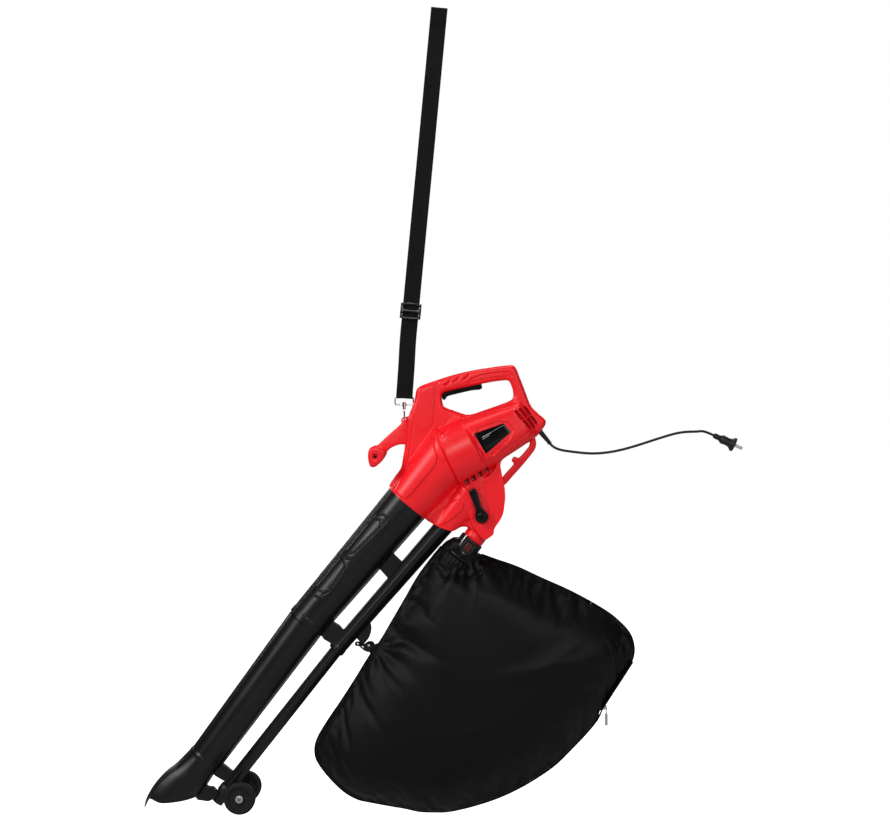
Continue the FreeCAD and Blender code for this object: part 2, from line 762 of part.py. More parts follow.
def build_rotor():
    shaft_start = -39.0
    shaft_bore = "Sizes.shaft_radius + 0.02"
    node(ring_body("MotorShaft", on_motor(shaft_start), "Sizes.shaft_radius", "163"), "motor_shaft")
    build_impeller()
    hub = cylinder("blade_hub", on_motor(-30), "7", "17.5")
    blades = []
    for index in range(2):
        blade = doc.addObject("Part::Box", f"blade_{index}")
        blade.Length = 56
        blade.Width = 9
        blade.Height = 2.5
        turn = Rotation(Vector(0, 0, 1), 90 * index)
        corner = turn.multVec(Vector(-28, -4.5, 0))
        blade.Placement = on_motor(-32.5).multiply(Placement(corner, turn))
        blades.append(blade)
    blade_bore = cylinder("blade_bore", on_motor(-34), shaft_bore, "30")
    node(cut("ShredderBlade", fuse("blade_solid", [hub] + blades), blade_bore), "shredder_blade")
    node(ring_body("ImpellerNut", on_motor(-37.5), "7.5", "4.9", shaft_bore), "impeller_nut")
    node(
        ring_body("ArmatureCore", on_motor(44), "Sizes.armature_radius", "Sizes.core_length", shaft_bore),
        "armature_core",
    )
    front_winding = ring_body("armature_winding_front", on_motor(36), "Sizes.armature_radius - 3", "7.9", shaft_bore)
    rear_winding = ring_body("armature_winding_rear", on_motor(84.1), "Sizes.armature_radius - 3", "8", shaft_bore)
    node(fuse("ArmatureWindings", [front_winding, rear_winding]), "armature_windings")
    node(ring_body("Commutator", on_motor(96), "Sizes.commutator_radius", "14", shaft_bore), "commutator")


def build_impeller():
    """A back disc and a hub with straight vanes in a circular pattern."""
    body = doc.addObject("PartDesign::Body", "Impeller")
    disc_sketch = new_sketch(body, "XY_Plane", "impeller_disc_sketch")
    add_circle(disc_sketch, "Sizes.impeller_radius")
    add_circle(disc_sketch, "Sizes.shaft_radius + 0.02")
    disc = body.newObject("PartDesign::Pad", "impeller_disc")
    disc.Profile = disc_sketch
    disc.Length = 3
    hub_sketch = new_sketch(body, "XY_Plane", "impeller_hub_sketch")
    add_circle(hub_sketch, "11")
    add_circle(hub_sketch, "Sizes.shaft_radius + 0.02")
    hub = body.newObject("PartDesign::Pad", "impeller_hub")
    hub.Profile = hub_sketch
    hub.Reversed = True
    hub.setExpression("Length", "Sizes.vane_depth - 6")
    vane_sketch = new_sketch(body, "XZ_Plane", "impeller_vane_sketch")
    tip = size("impeller_radius") - 0.5
    depth = size("vane_depth")
    add_outline(vane_sketch, [(10, 1), (tip, 1), (tip, -depth), (34, -depth), (10, 8 - depth)])
    vane = body.newObject("PartDesign::Pad", "impeller_vane")
    vane.Profile = vane_sketch
    vane.SideType = "Symmetric"
    vane.Length = 2.4
    doc.recompute()
    pattern = body.newObject("PartDesign::PolarPattern", "impeller_vanes")
    pattern.Originals = [vane]
    pattern.Axis = (disc_sketch, ["N_Axis"])
    pattern.Angle = 360
    pattern.Occurrences = VANE_COUNT
    body.Tip = pattern
    body.Placement = on_motor(12)
    node(body, "impeller")


def build_motor_frame():
    plate = cylinder("back_plate_disc", on_motor(19), "Sizes.fan_case_radius - Sizes.housing_wall - 0.4", "3")
    boss = cylinder("back_plate_boss", on_motor(19), "Sizes.front_bearing_radius + 4", "11")
    bore = cylinder("back_plate_bore", on_motor(19), f"Sizes.front_bearing_radius + {TUBE_GAP}", "11")
    node(cut("FanBackPlate", fuse("back_plate_solid", [plate, boss]), bore), "fan_back_plate")
    node(
        ring_body("InletRing", on_motor(-28), "Sizes.fan_case_radius - Sizes.housing_wall - 0.4", "3", "34"),
        "inlet_ring",
    )
    shaft_gap = "Sizes.shaft_radius + 0.04"
    node(
        ring_body("FrontBearing", on_motor(20), "Sizes.front_bearing_radius", "Sizes.bearing_width", shaft_gap),
        "front_bearing",
    )
    node(
        ring_body("RearBearing", on_motor(REAR_SEAT), "Sizes.rear_bearing_radius", "Sizes.bearing_width", shaft_gap),
        "rear_bearing",
    )
    gap_radius = "Sizes.armature_radius + 1.2"
    node(
        ring_body("StatorCore", on_motor(44), "Sizes.stator_radius", "Sizes.core_length", gap_radius),
        "stator_core",
    )
    front = ring_body("stator_winding_front", on_motor(34), "Sizes.stator_radius - 3", "9.9", "28")
    rear = ring_body("stator_winding_rear", on_motor(84.1), "Sizes.stator_radius - 3", "9.9", "28")
    node(fuse("StatorWindings", [front, rear]), "stator_windings")
    build_brushes()


def motor_box(name, start, sides):
    """A box centred on local X, from a stated Y and height along the motor axis."""
    item = doc.addObject("Part::Box", name)
    item.Length = sides[0]
    item.Width = sides[1]
    item.Height = sides[2]
    item.Placement = on_motor(0).multiply(Placement(Vector(-sides[0] / 2, start[0], start[1]), Rotation()))
    return item


def build_brushes():
    holders = []
    brushes = []
    for side in (1, -1):
        holder_start = 14 if side > 0 else -30
        brush_start = 12.2 if side > 0 else -23.2
        tag = "right" if side > 0 else "left"
        holder = motor_box(f"holder_{tag}", (holder_start, 98), (11, 16, 10))
        slot = motor_box(f"holder_slot_{tag}", (holder_start, 99.9), (6.2, 16, 6.2))
        holders.append(cut(f"holder_tube_{tag}", holder, slot))
        brushes.append(motor_box(f"brush_{tag}", (brush_start, 100), (6, 11, 6)))
    node(fuse("BrushHolders", holders), "brush_holders")
    node(fuse("CarbonBrushes", brushes), "carbon_brushes")


# ---------------------------------------------------------------- trigger and switch
PLUNGER_X = 480.0
SWITCH_BOTTOM = 879.0
SPRING_X = 447.0


def build_trigger():
    outline = [
        (409, 840.5),
        (413, 838.5),
        (417, 842.5),
        (487.5, 857),
        (486.5, 869),
        (425, 863),
        (414, 861),
        (409.5, 853),
    ]
    pivot_hole = [(PIVOT_X, PIVOT_Z, 2.45)]
    node(plate_body("Trigger", outline, "Sizes.trigger_half_width * 2", holes=pivot_hole), "trigger")
    spring_place = Placement(Vector(SPRING_X, 0, 866.6), Rotation())
    node(coil("TriggerSpring", spring_place, 3.6, 0.6, 3.0, 19.0), "trigger_spring")


def build_switch():
    corner = Placement(Vector(PLUNGER_X - 11, -8, SWITCH_BOTTOM), Rotation())
    case = box("switch_case", corner, "24", "16", "10.8")
    hole_place = Placement(Vector(PLUNGER_X, 0, SWITCH_BOTTOM), Rotation())
    hole = cylinder("switch_hole", hole_place, "Sizes.plunger_radius + Sizes.running_gap", "9.6")
    node(cut("SwitchBody", case, hole), "switch_body")
    plunger_place = Placement(Vector(PLUNGER_X, 0, 869.2), Rotation())
    node(ring_body("SwitchPlunger", plunger_place, "Sizes.plunger_radius", "12"), "switch_plunger")


# ---------------------------------------------------------------- mode lever and air flap
LEVER_FACE = -VALVE_HALF - 1.5
LEVER_TILT = -19.4


def build_mode_lever():
    front = LEVER_FACE - size("lever_depth")
    knob = cylinder("lever_knob", along_y(VALVE_X, front, VALVE_Z), "Sizes.lever_radius", "Sizes.lever_depth")
    arm_place = Placement(Vector(VALVE_X, 0, VALVE_Z), Rotation(Vector(0, 1, 0), LEVER_TILT))
    corner = Placement(Vector(-7.8, front, 0), Rotation())
    arm = box("lever_arm", arm_place.multiply(corner), "15.6", "Sizes.lever_depth", "Sizes.lever_arm_length - 7.8")
    tip_base = arm_place.multVec(Vector(0, front, size("lever_arm_length") - 7.8))
    tip = cylinder("lever_tip", along_y(tip_base.x, tip_base.y, tip_base.z), "7.8", "Sizes.lever_depth")
    hole = cylinder(
        "lever_hole", along_y(VALVE_X, front, VALVE_Z), "Sizes.lever_shaft_radius + 0.02", "Sizes.lever_depth"
    )
    node(cut("ModeLever", fuse("lever_solid", [knob, arm, tip]), hole), "mode_lever")
    shaft = cylinder("lever_shaft_rod", along_y(VALVE_X, front, VALVE_Z), "Sizes.lever_shaft_radius", "73")
    pilot = cylinder("lever_shaft_pilot", along_y(VALVE_X, front, VALVE_Z), "1.65", "14")
    node(cut("LeverShaft", shaft, pilot), "lever_shaft")
    head = cylinder("lever_screw_head", along_y(VALVE_X, front - 2.45, VALVE_Z), "5.2", "2.4")
    shank = cylinder("lever_screw_shank", along_y(VALVE_X, front - 0.05, VALVE_Z), "1.6", "12")
    node(fuse("LeverScrew", [head, shank]), "lever_screw")


def build_air_flap():
    """A curved shutter on the lever's shaft: it covers one outlet of the valve chamber or the other."""
    start = -28.0
    span = "51.5"
    wing_outer = primitive("Part::Cylinder", "flap_outer", along_y(VALVE_X, start, VALVE_Z), Radius="42.2", Height=span)
    wing_outer.Angle = 46
    wing_inner = cylinder("flap_inner", along_y(VALVE_X, start, VALVE_Z), "39.8", span)
    wing = cut("flap_wing", wing_outer, wing_inner)
    turn = Placement(Vector(VALVE_X, 0, VALVE_Z), Rotation(Vector(0, 1, 0), 138.4))
    wing.Placement = turn.multiply(Placement(Vector(-VALVE_X, 0, -VALVE_Z), Rotation()))
    hub = cylinder("flap_hub", along_y(VALVE_X, start, VALVE_Z), "7.5", span)
    spokes = []
    for index, spoke_start in enumerate((start, 19.5)):
        lean = Placement(Vector(VALVE_X, 0, VALVE_Z), Rotation(Vector(0, 1, 0), 161.4))
        spoke = box(f"flap_spoke_{index}", lean.multiply(Placement(Vector(6, spoke_start, -3), Rotation())), "34.5", "4", "6")
        spokes.append(spoke)
    bore = cylinder("flap_bore", along_y(VALVE_X, start, VALVE_Z), "Sizes.lever_shaft_radius + 0.02", span)
    node(cut("AirFlap", fuse("flap_solid", [wing, hub] + spokes), bore), "air_flap")


# ---------------------------------------------------------------- mains lead
CORD_EXIT = 40.0


def build_power_lead():
    root = tilted(*SLEEVE_ROOT, SLEEVE_TILT)
    profile = [(2.65, 0), (6.5, 0), (6.5, 9), (4.6, CORD_EXIT), (2.65, CORD_EXIT)]
    node(turned_body("CordSleeve", profile, root), "cord_sleeve")
    outward = direction(SLEEVE_TILT)
    start = Vector(SLEEVE_ROOT[0], 0, SLEEVE_ROOT[1])
    exit_point = start + outward * (CORD_EXIT + 1)
    plug_axis = direction(115.0)
    plug_start = Vector(965, 0, 763)
    heights = [(671, 730), (718, 726), (769, 732), (819, 746), (869, 762), (907, 770), (932, 771)]
    points = [exit_point] + [Vector(x, 0, z) for x, z in heights] + [plug_start - plug_axis * 2]
    curve = Part.BSplineCurve()
    curve.interpolate(points, InitialTangent=outward * 40, FinalTangent=plug_axis * 40)
    inside = Part.LineSegment(start - outward * 20, exit_point)
    into_plug = Part.LineSegment(plug_start - plug_axis * 2, plug_start + plug_axis * 10)
    spine = Part.Wire([inside.toShape(), curve.toShape(), into_plug.toShape()])
    section = Part.Wire(Part.makeCircle(size("cord_radius"), start - outward * 20, outward))
    node(shape_feature("PowerCord", spine.makePipeShell([section], True, False)), "power_cord")
    clamp = motor_clamp(outward, start)
    node(clamp, "cord_clamp")
    build_plug(plug_start)


def motor_clamp(outward, start):
    """A small block that grips the lead just inside the housing."""
    place = Placement(start - outward * 13, Rotation(Vector(0, 1, 0), SLEEVE_TILT))
    block = box("clamp_block", place.multiply(Placement(Vector(-5, -9, 0), Rotation())), "10", "18", "6")
    hole = cylinder("clamp_hole", place, "Sizes.cord_radius + 0.02", "6")
    return cut("CordClamp", block, hole)


def build_plug(plug_start):
    length = size("plug_length")
    flange = size("plug_flange_radius")
    place = tilted(plug_start.x, plug_start.z, 115.0)
    bore = size("cord_radius") + 0.05
    profile = [
        (0, 11),
        (bore, 11),
        (bore, 0),
        (5.5, 0),
        (6.5, 10),
        (11.5, 16),
        (12, length - 8),
        (flange, length - 4),
        (flange, length),
        (0, length),
    ]
    body = turned_body("plug_form", profile, place)
    pins = []
    holes = []
    for index, side in enumerate((-6.35, 6.35)):
        corner = Placement(Vector(-3.15, side - 0.75, length - 14), Rotation())
        pins.append(box(f"plug_pin_{index}", place.multiply(corner), "6.3", "1.5", "Sizes.pin_length + 14"))
        holes.append(box(f"plug_pin_hole_{index}", place.multiply(corner), "6.3", "1.5", "15"))
    node(cut("PlugBody", body, fuse("plug_holes", holes)), "plug_body")
    node(fuse("PlugPins", pins), "plug_pins")


# ---------------------------------------------------------------- collecting bag
COLLAR_END = -size("collar_length")

BAG_OUTLINE = [
    (417, 531),
    (372, 490),
    (309, 390),
    (256, 306),
    (212, 235),
    (156, 148),
    (157, 85),
    (227, 19),
    (329, -1),
    (425, -9),
    (508, 13),
    (580, 47),
    (638, 85),
    (701, 148),
    (734, 209),
    (795, 303),
    (786, 366),
    (740, 407),
    (628, 465),
    (546, 497),
    (466, 494),
]
BAG_CENTRE = (480.0, 250.0)
BAG_STATIONS = [(-1.0, 0.66), (-0.9, 0.82), (-0.68, 0.93), (-0.36, 0.985), (0.0, 1.0)]


def bag_solid(inset):
    """Rounded outlines stacked across the bag's depth, smaller towards both faces, joined by one skin."""
    stations = BAG_STATIONS + [(-depth, scale) for depth, scale in reversed(BAG_STATIONS[:-1])]
    half_depth = size("bag_half_depth") - inset
    wires = []
    for depth, scale in stations:
        shrink = scale * (1 - inset / 250.0)
        corners = []
        for x, z in BAG_OUTLINE:
            corner_x = BAG_CENTRE[0] + (x - BAG_CENTRE[0]) * shrink
            corner_z = BAG_CENTRE[1] + (z - BAG_CENTRE[1]) * shrink
            corners.append(Vector(corner_x, depth * half_depth, corner_z))
        outline = Part.BSplineCurve()
        outline.buildFromPoles(corners, True, 2)
        wires.append(Part.Wire(outline.toShape()))
    return Part.makeLoft(wires, True, False)


def build_bag():
    neck_radius = size("collar_flange_radius") + 0.15
    fabric = size("fabric")
    neck = rod(on_bag_outlet(COLLAR_END - 40), neck_radius + fabric, 42.5)
    throat = rod(on_bag_outlet(COLLAR_END - 42), neck_radius, 48)
    above_neck = rod(on_bag_outlet(COLLAR_END - 0.6), 2 * neck_radius, 90)
    skin = bag_solid(0).cut(above_neck).fuse(neck)
    bag = skin.cut([bag_solid(fabric), throat])
    node(shape_feature("Bag", bag), "bag")


def build_collar_and_latch():
    """A socket that slips over the bag outlet, with a button latch on its left side."""
    bottom = on_bag_outlet(COLLAR_END)
    sleeve = cylinder("collar_sleeve", bottom, "Sizes.collar_outer_radius", "Sizes.collar_length")
    flange = cylinder("collar_flange", bottom, "Sizes.collar_flange_radius", "4")
    boss = box(
        "collar_boss", bottom.multiply(Placement(Vector(-13, -37, 3), Rotation())), "26", "24", "28"
    )
    bore = cylinder("collar_bore", bottom, "Sizes.bag_outlet_radius - Sizes.housing_wall", "Sizes.collar_length")
    socket = cylinder("collar_socket", on_bag_outlet(-17), "Sizes.bag_outlet_radius + 0.06", "17")
    pocket_corner = Placement(Vector(-size("latch_width") / 2 - 0.05, -38, 8 - 0.05), Rotation())
    pocket = box(
        "latch_pocket", bottom.multiply(pocket_corner), "Sizes.latch_width + 0.1", "13.5", "Sizes.latch_length + 0.1"
    )
    solid = fuse("collar_solid", [sleeve, flange, boss])
    node(cut("BagCollar", solid, fuse("collar_holes", [bore, socket, pocket])), "bag_collar")
    button_corner = Placement(Vector(-size("latch_width") / 2, -41, 8), Rotation())
    button = box(
        "latch_button", bottom.multiply(button_corner), "Sizes.latch_width", "Sizes.latch_height", "Sizes.latch_length"
    )
    node(button, "bag_latch")
    leaf_outline = [(-7, 1.3), (-7, 1.0), (-1, 0), (1, 0), (7, 1.0), (7, 1.3), (1, 0.4), (-1, 0.4)]
    leaf = shape_feature("LatchSpring", prism(leaf_outline, 3))
    leaf.Placement = bottom.multiply(Placement(Vector(0, -25.9, 17), Rotation(Vector(1, 1, 1), -120)))
    node(leaf, "latch_spring")


def build_bag_hook():
    outline = [(257, 316), (270, 330), (262, 341), (256, 341), (247.5, 334.4), (240, 339), (231, 340.3), (229.5, 333), (240, 322)]
    node(plate_body("BagHook", outline, "7"), "bag_hook")


# ---------------------------------------------------------------- zip
ZIP_START = Vector(738.0, 0, 206.5)
ZIP_TILT = 33.0
ZIP_LENGTH = 108.0


def build_zip():
    """A straight zip on the bag's rear edge: tape and teeth, a slider and its pull."""
    start = tilted(ZIP_START.x, ZIP_START.z, ZIP_TILT)
    tape = box("zip_band", start.multiply(Placement(Vector(0, -11, -3), Rotation())), "1.2", "22", str(ZIP_LENGTH + 9))
    teeth = box("zip_teeth", start.multiply(Placement(Vector(0, -2.4, -3), Rotation())), "3", "4.8", str(ZIP_LENGTH + 9))
    node(fuse("ZipTape", [tape, teeth]), "zip_tape")
    block = box("slider_block", start.multiply(Placement(Vector(1.4, -5, -4), Rotation())), "3.6", "10", "10")
    groove = box("slider_groove", start.multiply(Placement(Vector(1.3, -2.6, -5), Rotation())), "1.9", "5.2", "12")
    cheeks = []
    for index, side in enumerate((-4.2, 2.6)):
        cheek = start.multiply(Placement(Vector(4.9, side, -1.5), Rotation()))
        cheeks.append(box(f"slider_cheek_{index}", cheek, "3.6", "1.6", "5"))
    pin_point = start.multVec(Vector(7.2, 0, 1))
    pin = cylinder("slider_pin", along_y(pin_point.x, -4.2, pin_point.z), "1", "8.4")
    node(cut("ZipSlider", fuse("slider_solid", [block, pin] + cheeks), groove), "zip_slider")
    build_zip_pull(pin_point)


def build_zip_pull(pin_point):
    eye = cylinder("pull_eye", along_y(pin_point.x, -1.6, pin_point.z), "2", "3.2")
    stem_place = Placement(Vector(pin_point.x - 1.2, -1, pin_point.z - 12), Rotation())
    stem = box("pull_stem", stem_place, "2.4", "2", "11")
    tag_place = Placement(Vector(pin_point.x - 3, -1, pin_point.z - 35), Rotation())
    tag = box("pull_tag", tag_place, "6", "2", "24")
    hole = cylinder("pull_hole", along_y(pin_point.x, -1.6, pin_point.z), "1 + Sizes.running_gap", "3.2")
    node(cut("ZipPuller", fuse("pull_solid", [eye, stem, tag]), hole), "zip_puller")


# ---------------------------------------------------------------- shoulder strap and hook
HOOK_X = size("hook_x")
STRAP_PATH = [(HOOK_X, 836.0), (338.2, 960.0), (402.5, 1641.0)]
BUCKLE_POINT = (343.63, 1017.5)
STRAP_TILT = math.degrees(math.atan2(402.5 - 338.2, 1641.0 - 960.0))


def strap_outline(half_width, low, high):
    """The webbing's two long edges, from a lower to an upper height along its path."""
    left = []
    right = []
    path = [(STRAP_PATH[0][0], STRAP_PATH[0][1] + low), STRAP_PATH[1], (STRAP_PATH[2][0], STRAP_PATH[2][1] - high)]
    for x, z in path:
        left.append((x - half_width, z))
        right.append((x + half_width, z))
    return left + right[::-1]


def build_strap():
    """Doubled webbing, closed at both ends, with the ring's bar in its lower loop."""
    half = size("strap_half_width")
    outer = plate_body("strap_band", strap_outline(half, 0, 0), "Sizes.strap_half_depth * 2")
    between = strap_outline(half + 2, 1.4, 1.4)
    inner = plate_body("strap_gap", between, "Sizes.strap_inner_half_depth * 2")
    node(cut("StrapWebbing", outer, inner), "strap_webbing")
    place = tilted(BUCKLE_POINT[0], BUCKLE_POINT[1], STRAP_TILT)
    half_buckle = size("buckle_half_width")
    frame = box(
        "buckle_frame",
        place.multiply(Placement(Vector(-half_buckle, -4.6, -17.5), Rotation())),
        "Sizes.buckle_half_width * 2",
        "9.2",
        "Sizes.buckle_length",
    )
    slot = box("buckle_slot", place.multiply(Placement(Vector(-18, -3.35, -19), Rotation())), "36", "6.7", "38")
    node(cut("StrapBuckle", frame, slot), "strap_buckle")


RING_LOW = 826.0
RING_HIGH = 840.2


def rounded_loop(half_width, low, high, bend):
    """A closed wire path in the XZ plane: a rectangle with round corners."""
    edges = []
    x0, x1 = HOOK_X - half_width, HOOK_X + half_width
    middle = bend * (1 - math.sqrt(0.5))
    edges.append(Part.LineSegment(Vector(x0 + bend, 0, low), Vector(x1 - bend, 0, low)))
    corner = (Vector(x1 - bend, 0, low), Vector(x1 - middle, 0, low + middle), Vector(x1, 0, low + bend))
    edges.append(Part.Arc(*corner))
    edges.append(Part.LineSegment(Vector(x1, 0, low + bend), Vector(x1, 0, high - bend)))
    corner = (Vector(x1, 0, high - bend), Vector(x1 - middle, 0, high - middle), Vector(x1 - bend, 0, high))
    edges.append(Part.Arc(*corner))
    edges.append(Part.LineSegment(Vector(x1 - bend, 0, high), Vector(x0 + bend, 0, high)))
    corner = (Vector(x0 + bend, 0, high), Vector(x0 + middle, 0, high - middle), Vector(x0, 0, high - bend))
    edges.append(Part.Arc(*corner))
    edges.append(Part.LineSegment(Vector(x0, 0, high - bend), Vector(x0, 0, low + bend)))
    corner = (Vector(x0, 0, low + bend), Vector(x0 + middle, 0, low + middle), Vector(x0 + bend, 0, low))
    edges.append(Part.Arc(*corner))
    return Part.Wire([edge.toShape() for edge in edges])


def build_ring():
    """The wire loop that the webbing hangs from, with a swivel boss on its lower bar."""
    path = rounded_loop(18.6, RING_LOW, RING_HIGH, 2.6)
    section = Part.Wire(Part.makeCircle(1.55, Vector(HOOK_X, 0, RING_LOW), Vector(1, 0, 0)))
    loop = path.makePipeShell([section], True, True)
    boss = Part.makeCylinder(4.2, 7, Vector(HOOK_X, 0, RING_LOW - 3.5))
    bore = Part.makeCylinder(1.8, 9, Vector(HOOK_X, 0, RING_LOW - 4.5))
    node(shape_feature("StrapRing", loop.fuse(boss).cut(bore)), "strap_ring")


def build_hook():
    """A snap hook: a stem that turns in the ring, a bent wire through the strap eye, and a hinged gate."""
    wire = size("hook_wire_radius")
    bend = size("hook_bend_radius")
    bend_z = EYE_Z - 1.8 + bend
    shoulder_z = 812.0
    points = [Vector(HOOK_X, 0, 820), Vector(HOOK_X, bend * 0.7, 817), Vector(HOOK_X, bend, shoulder_z)]
    shoulder = Part.Arc(points[0], points[1], points[2])
    side = Part.LineSegment(points[2], Vector(HOOK_X, bend, bend_z))
    low = Part.Arc(Vector(HOOK_X, bend, bend_z), Vector(HOOK_X, 0, bend_z - bend), Vector(HOOK_X, -bend, bend_z))
    spine = Part.Wire([shoulder.toShape(), side.toShape(), low.toShape()])
    start_tangent = shoulder.tangent(shoulder.FirstParameter)[0]
    section = Part.Wire(Part.makeCircle(wire, points[0], start_tangent))
    curved = spine.makePipeShell([section], True, True)
    stem = Part.makeCylinder(1.75, 17.3, Vector(HOOK_X, 0, 812.5))
    collar = Part.makeCylinder(3.2, 5.4, Vector(HOOK_X, 0, 816.8))
    head = Part.makeCylinder(3.0, 1.9, Vector(HOOK_X, 0, 829.6))
    pin = Part.makeCylinder(1.0, 5.0, Vector(HOOK_X - 2.5, -bend, shoulder_z + 2), Vector(1, 0, 0))
    arm = Part.makeBox(1.6, 7.5, 3.0, Vector(HOOK_X - 2.6, -bend - 0.5, shoulder_z + 0.5))
    hook = curved.multiFuse([stem, collar, head, pin, arm])
    node(shape_feature("HookBody", hook), "hook_body")
    eye = Part.makeCylinder(2.2, 2.2, Vector(HOOK_X - 0.9, -bend, shoulder_z + 2), Vector(1, 0, 0))
    gate_height = shoulder_z + 2 - bend_z - 0.4
    leaf = Part.makeBox(2.2, 2.2, gate_height, Vector(HOOK_X - 0.9, -bend - 1.1, bend_z + 0.4))
    hole = Part.makeCylinder(1.05, 5.0, Vector(HOOK_X - 2.0, -bend, shoulder_z + 2), Vector(1, 0, 0))
    node(shape_feature("HookGate", eye.fuse(leaf).cut(hole)), "hook_gate")


# ---------------------------------------------------------------- tube screws
def build_tube_screws():
    """Two short screws that lock each tube into the next, seen as small heads on the right side."""
    heads = []
    for x, z, tilt, reach, radius in (
        (JOINT_X, JOINT_Z, UPPER_TILT, 12.0, size("upper_tube_low_radius")),
        (JOINT_X, JOINT_Z, UPPER_TILT, UPPER_LENGTH - 12.0, size("upper_tube_top_radius")),
    ):
        centre = along(x, z, tilt, reach).Base
        heads.append(Part.makeCylinder(3.5, 2.0, Vector(centre.x, radius + 0.6, centre.z), Vector(0, 1, 0)))
    node(shape_feature("TubeScrews", Part.makeCompound(heads)), "tube_screws")


# ---------------------------------------------------------------- build everything
build_upper_suction_tube()
build_lower_suction_tube()
build_upper_blow_tube()
build_lower_blow_tube()
build_tube_screws()
build_wheel_bracket()
build_wheel("wheel_left", -1)
build_wheel("wheel_right", 1)
build_axle_and_caps()
build_housing()
build_name_plate()
build_front_handle()
build_rotor()
build_motor_frame()
build_trigger()
build_switch()
build_mode_lever()
build_air_flap()
build_power_lead()
build_bag()
build_collar_and_latch()
build_bag_hook()
build_zip()
build_strap()
build_ring()
build_hook()
doc.recompute()

for item in doc.Objects:
    if "Invalid" in item.State or "Error" in item.State:
        raise RuntimeError(f"{item.Label} failed: {item.State}")
for item in NODES:
    if item.Shape.isNull() or not item.Shape.isValid() or not item.Shape.Solids:
        raise RuntimeError(f"{item.Label} has no valid solid")
    item.Shape.exportStep(f"parts/{item.Label}.step")
print(len(NODES), "parts written")
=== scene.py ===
import math
import bpy
import bmesh
import numpy as np
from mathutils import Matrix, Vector
from mathutils.bvhtree import BVHTree


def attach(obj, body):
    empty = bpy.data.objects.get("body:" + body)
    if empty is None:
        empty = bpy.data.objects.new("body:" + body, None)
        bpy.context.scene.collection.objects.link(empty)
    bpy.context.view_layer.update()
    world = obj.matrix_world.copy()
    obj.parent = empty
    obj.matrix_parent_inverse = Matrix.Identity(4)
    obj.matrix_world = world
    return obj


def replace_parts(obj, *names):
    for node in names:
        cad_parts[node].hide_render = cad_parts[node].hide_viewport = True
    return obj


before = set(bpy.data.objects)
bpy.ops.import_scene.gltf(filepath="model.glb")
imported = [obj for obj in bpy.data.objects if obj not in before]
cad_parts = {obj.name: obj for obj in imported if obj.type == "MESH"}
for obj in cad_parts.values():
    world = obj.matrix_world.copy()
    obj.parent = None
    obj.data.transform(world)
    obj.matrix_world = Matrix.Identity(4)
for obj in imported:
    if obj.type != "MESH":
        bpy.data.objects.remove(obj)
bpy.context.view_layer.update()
MM = 0.001


# ---------------------------------------------------------------- materials
def new_surface(name):
    """A material with its nodes, its links and its shader."""
    m = bpy.data.materials.new(name)
    m.use_nodes = True
    nodes = m.node_tree.nodes
    return m, nodes, m.node_tree.links, nodes["Principled BSDF"]


def add_node(nodes, kind, **values):
    """A shader node. Each value goes to the input of that name, read with spaces for underscores."""
    node = nodes.new(kind)
    for key, value in values.items():
        node.inputs[key.replace("_", " ")].default_value = value
    return node


def colour_ramp(nodes, low, dark, high, light):
    ramp = nodes.new("ShaderNodeValToRGB")
    for element, position, colour in zip(ramp.color_ramp.elements, (low, high), (dark, light)):
        element.color = (*colour, 1)
        element.position = position
    return ramp


def add_relief(nodes, links, shader, height, strength, depth):
    relief = add_node(nodes, "ShaderNodeBump", Strength=strength, Distance=depth)
    links.new(height, relief.inputs["Height"])
    links.new(relief.outputs["Normal"], shader.inputs["Normal"])


def material(name, colour, roughness, metallic=0.0, bump=0.0, scale=900.0, shine=0.5):
    """A surface with fine moulded or brushed texture and a slight change of colour and gloss."""
    m, nodes, links, shader = new_surface(name)
    shader.inputs["Metallic"].default_value = metallic
    shader.inputs["Specular IOR Level"].default_value = shine
    shader.inputs["Emission Color"].default_value = (*colour, 1)
    where = nodes.new("ShaderNodeTexCoord").outputs["Object"]
    broad = add_node(nodes, "ShaderNodeTexNoise", Scale=14.0, Detail=5.0)
    links.new(where, broad.inputs["Vector"])
    ramp = colour_ramp(nodes, 0.3, [c * 0.9 for c in colour], 0.7, [min(1.0, c * 1.04) for c in colour])
    links.new(broad.outputs["Fac"], ramp.inputs["Fac"])
    links.new(ramp.outputs["Color"], shader.inputs["Base Color"])
    rough = add_node(nodes, "ShaderNodeMapRange", To_Min=max(0.03, roughness - 0.06), To_Max=roughness + 0.08)
    links.new(broad.outputs["Fac"], rough.inputs["Value"])
    links.new(rough.outputs["Result"], shader.inputs["Roughness"])
    fine = add_node(nodes, "ShaderNodeTexNoise", Scale=scale, Detail=3.0)
    links.new(where, fine.inputs["Vector"])
    add_relief(nodes, links, shader, fine.outputs["Fac"], bump, 0.0004)
    return m


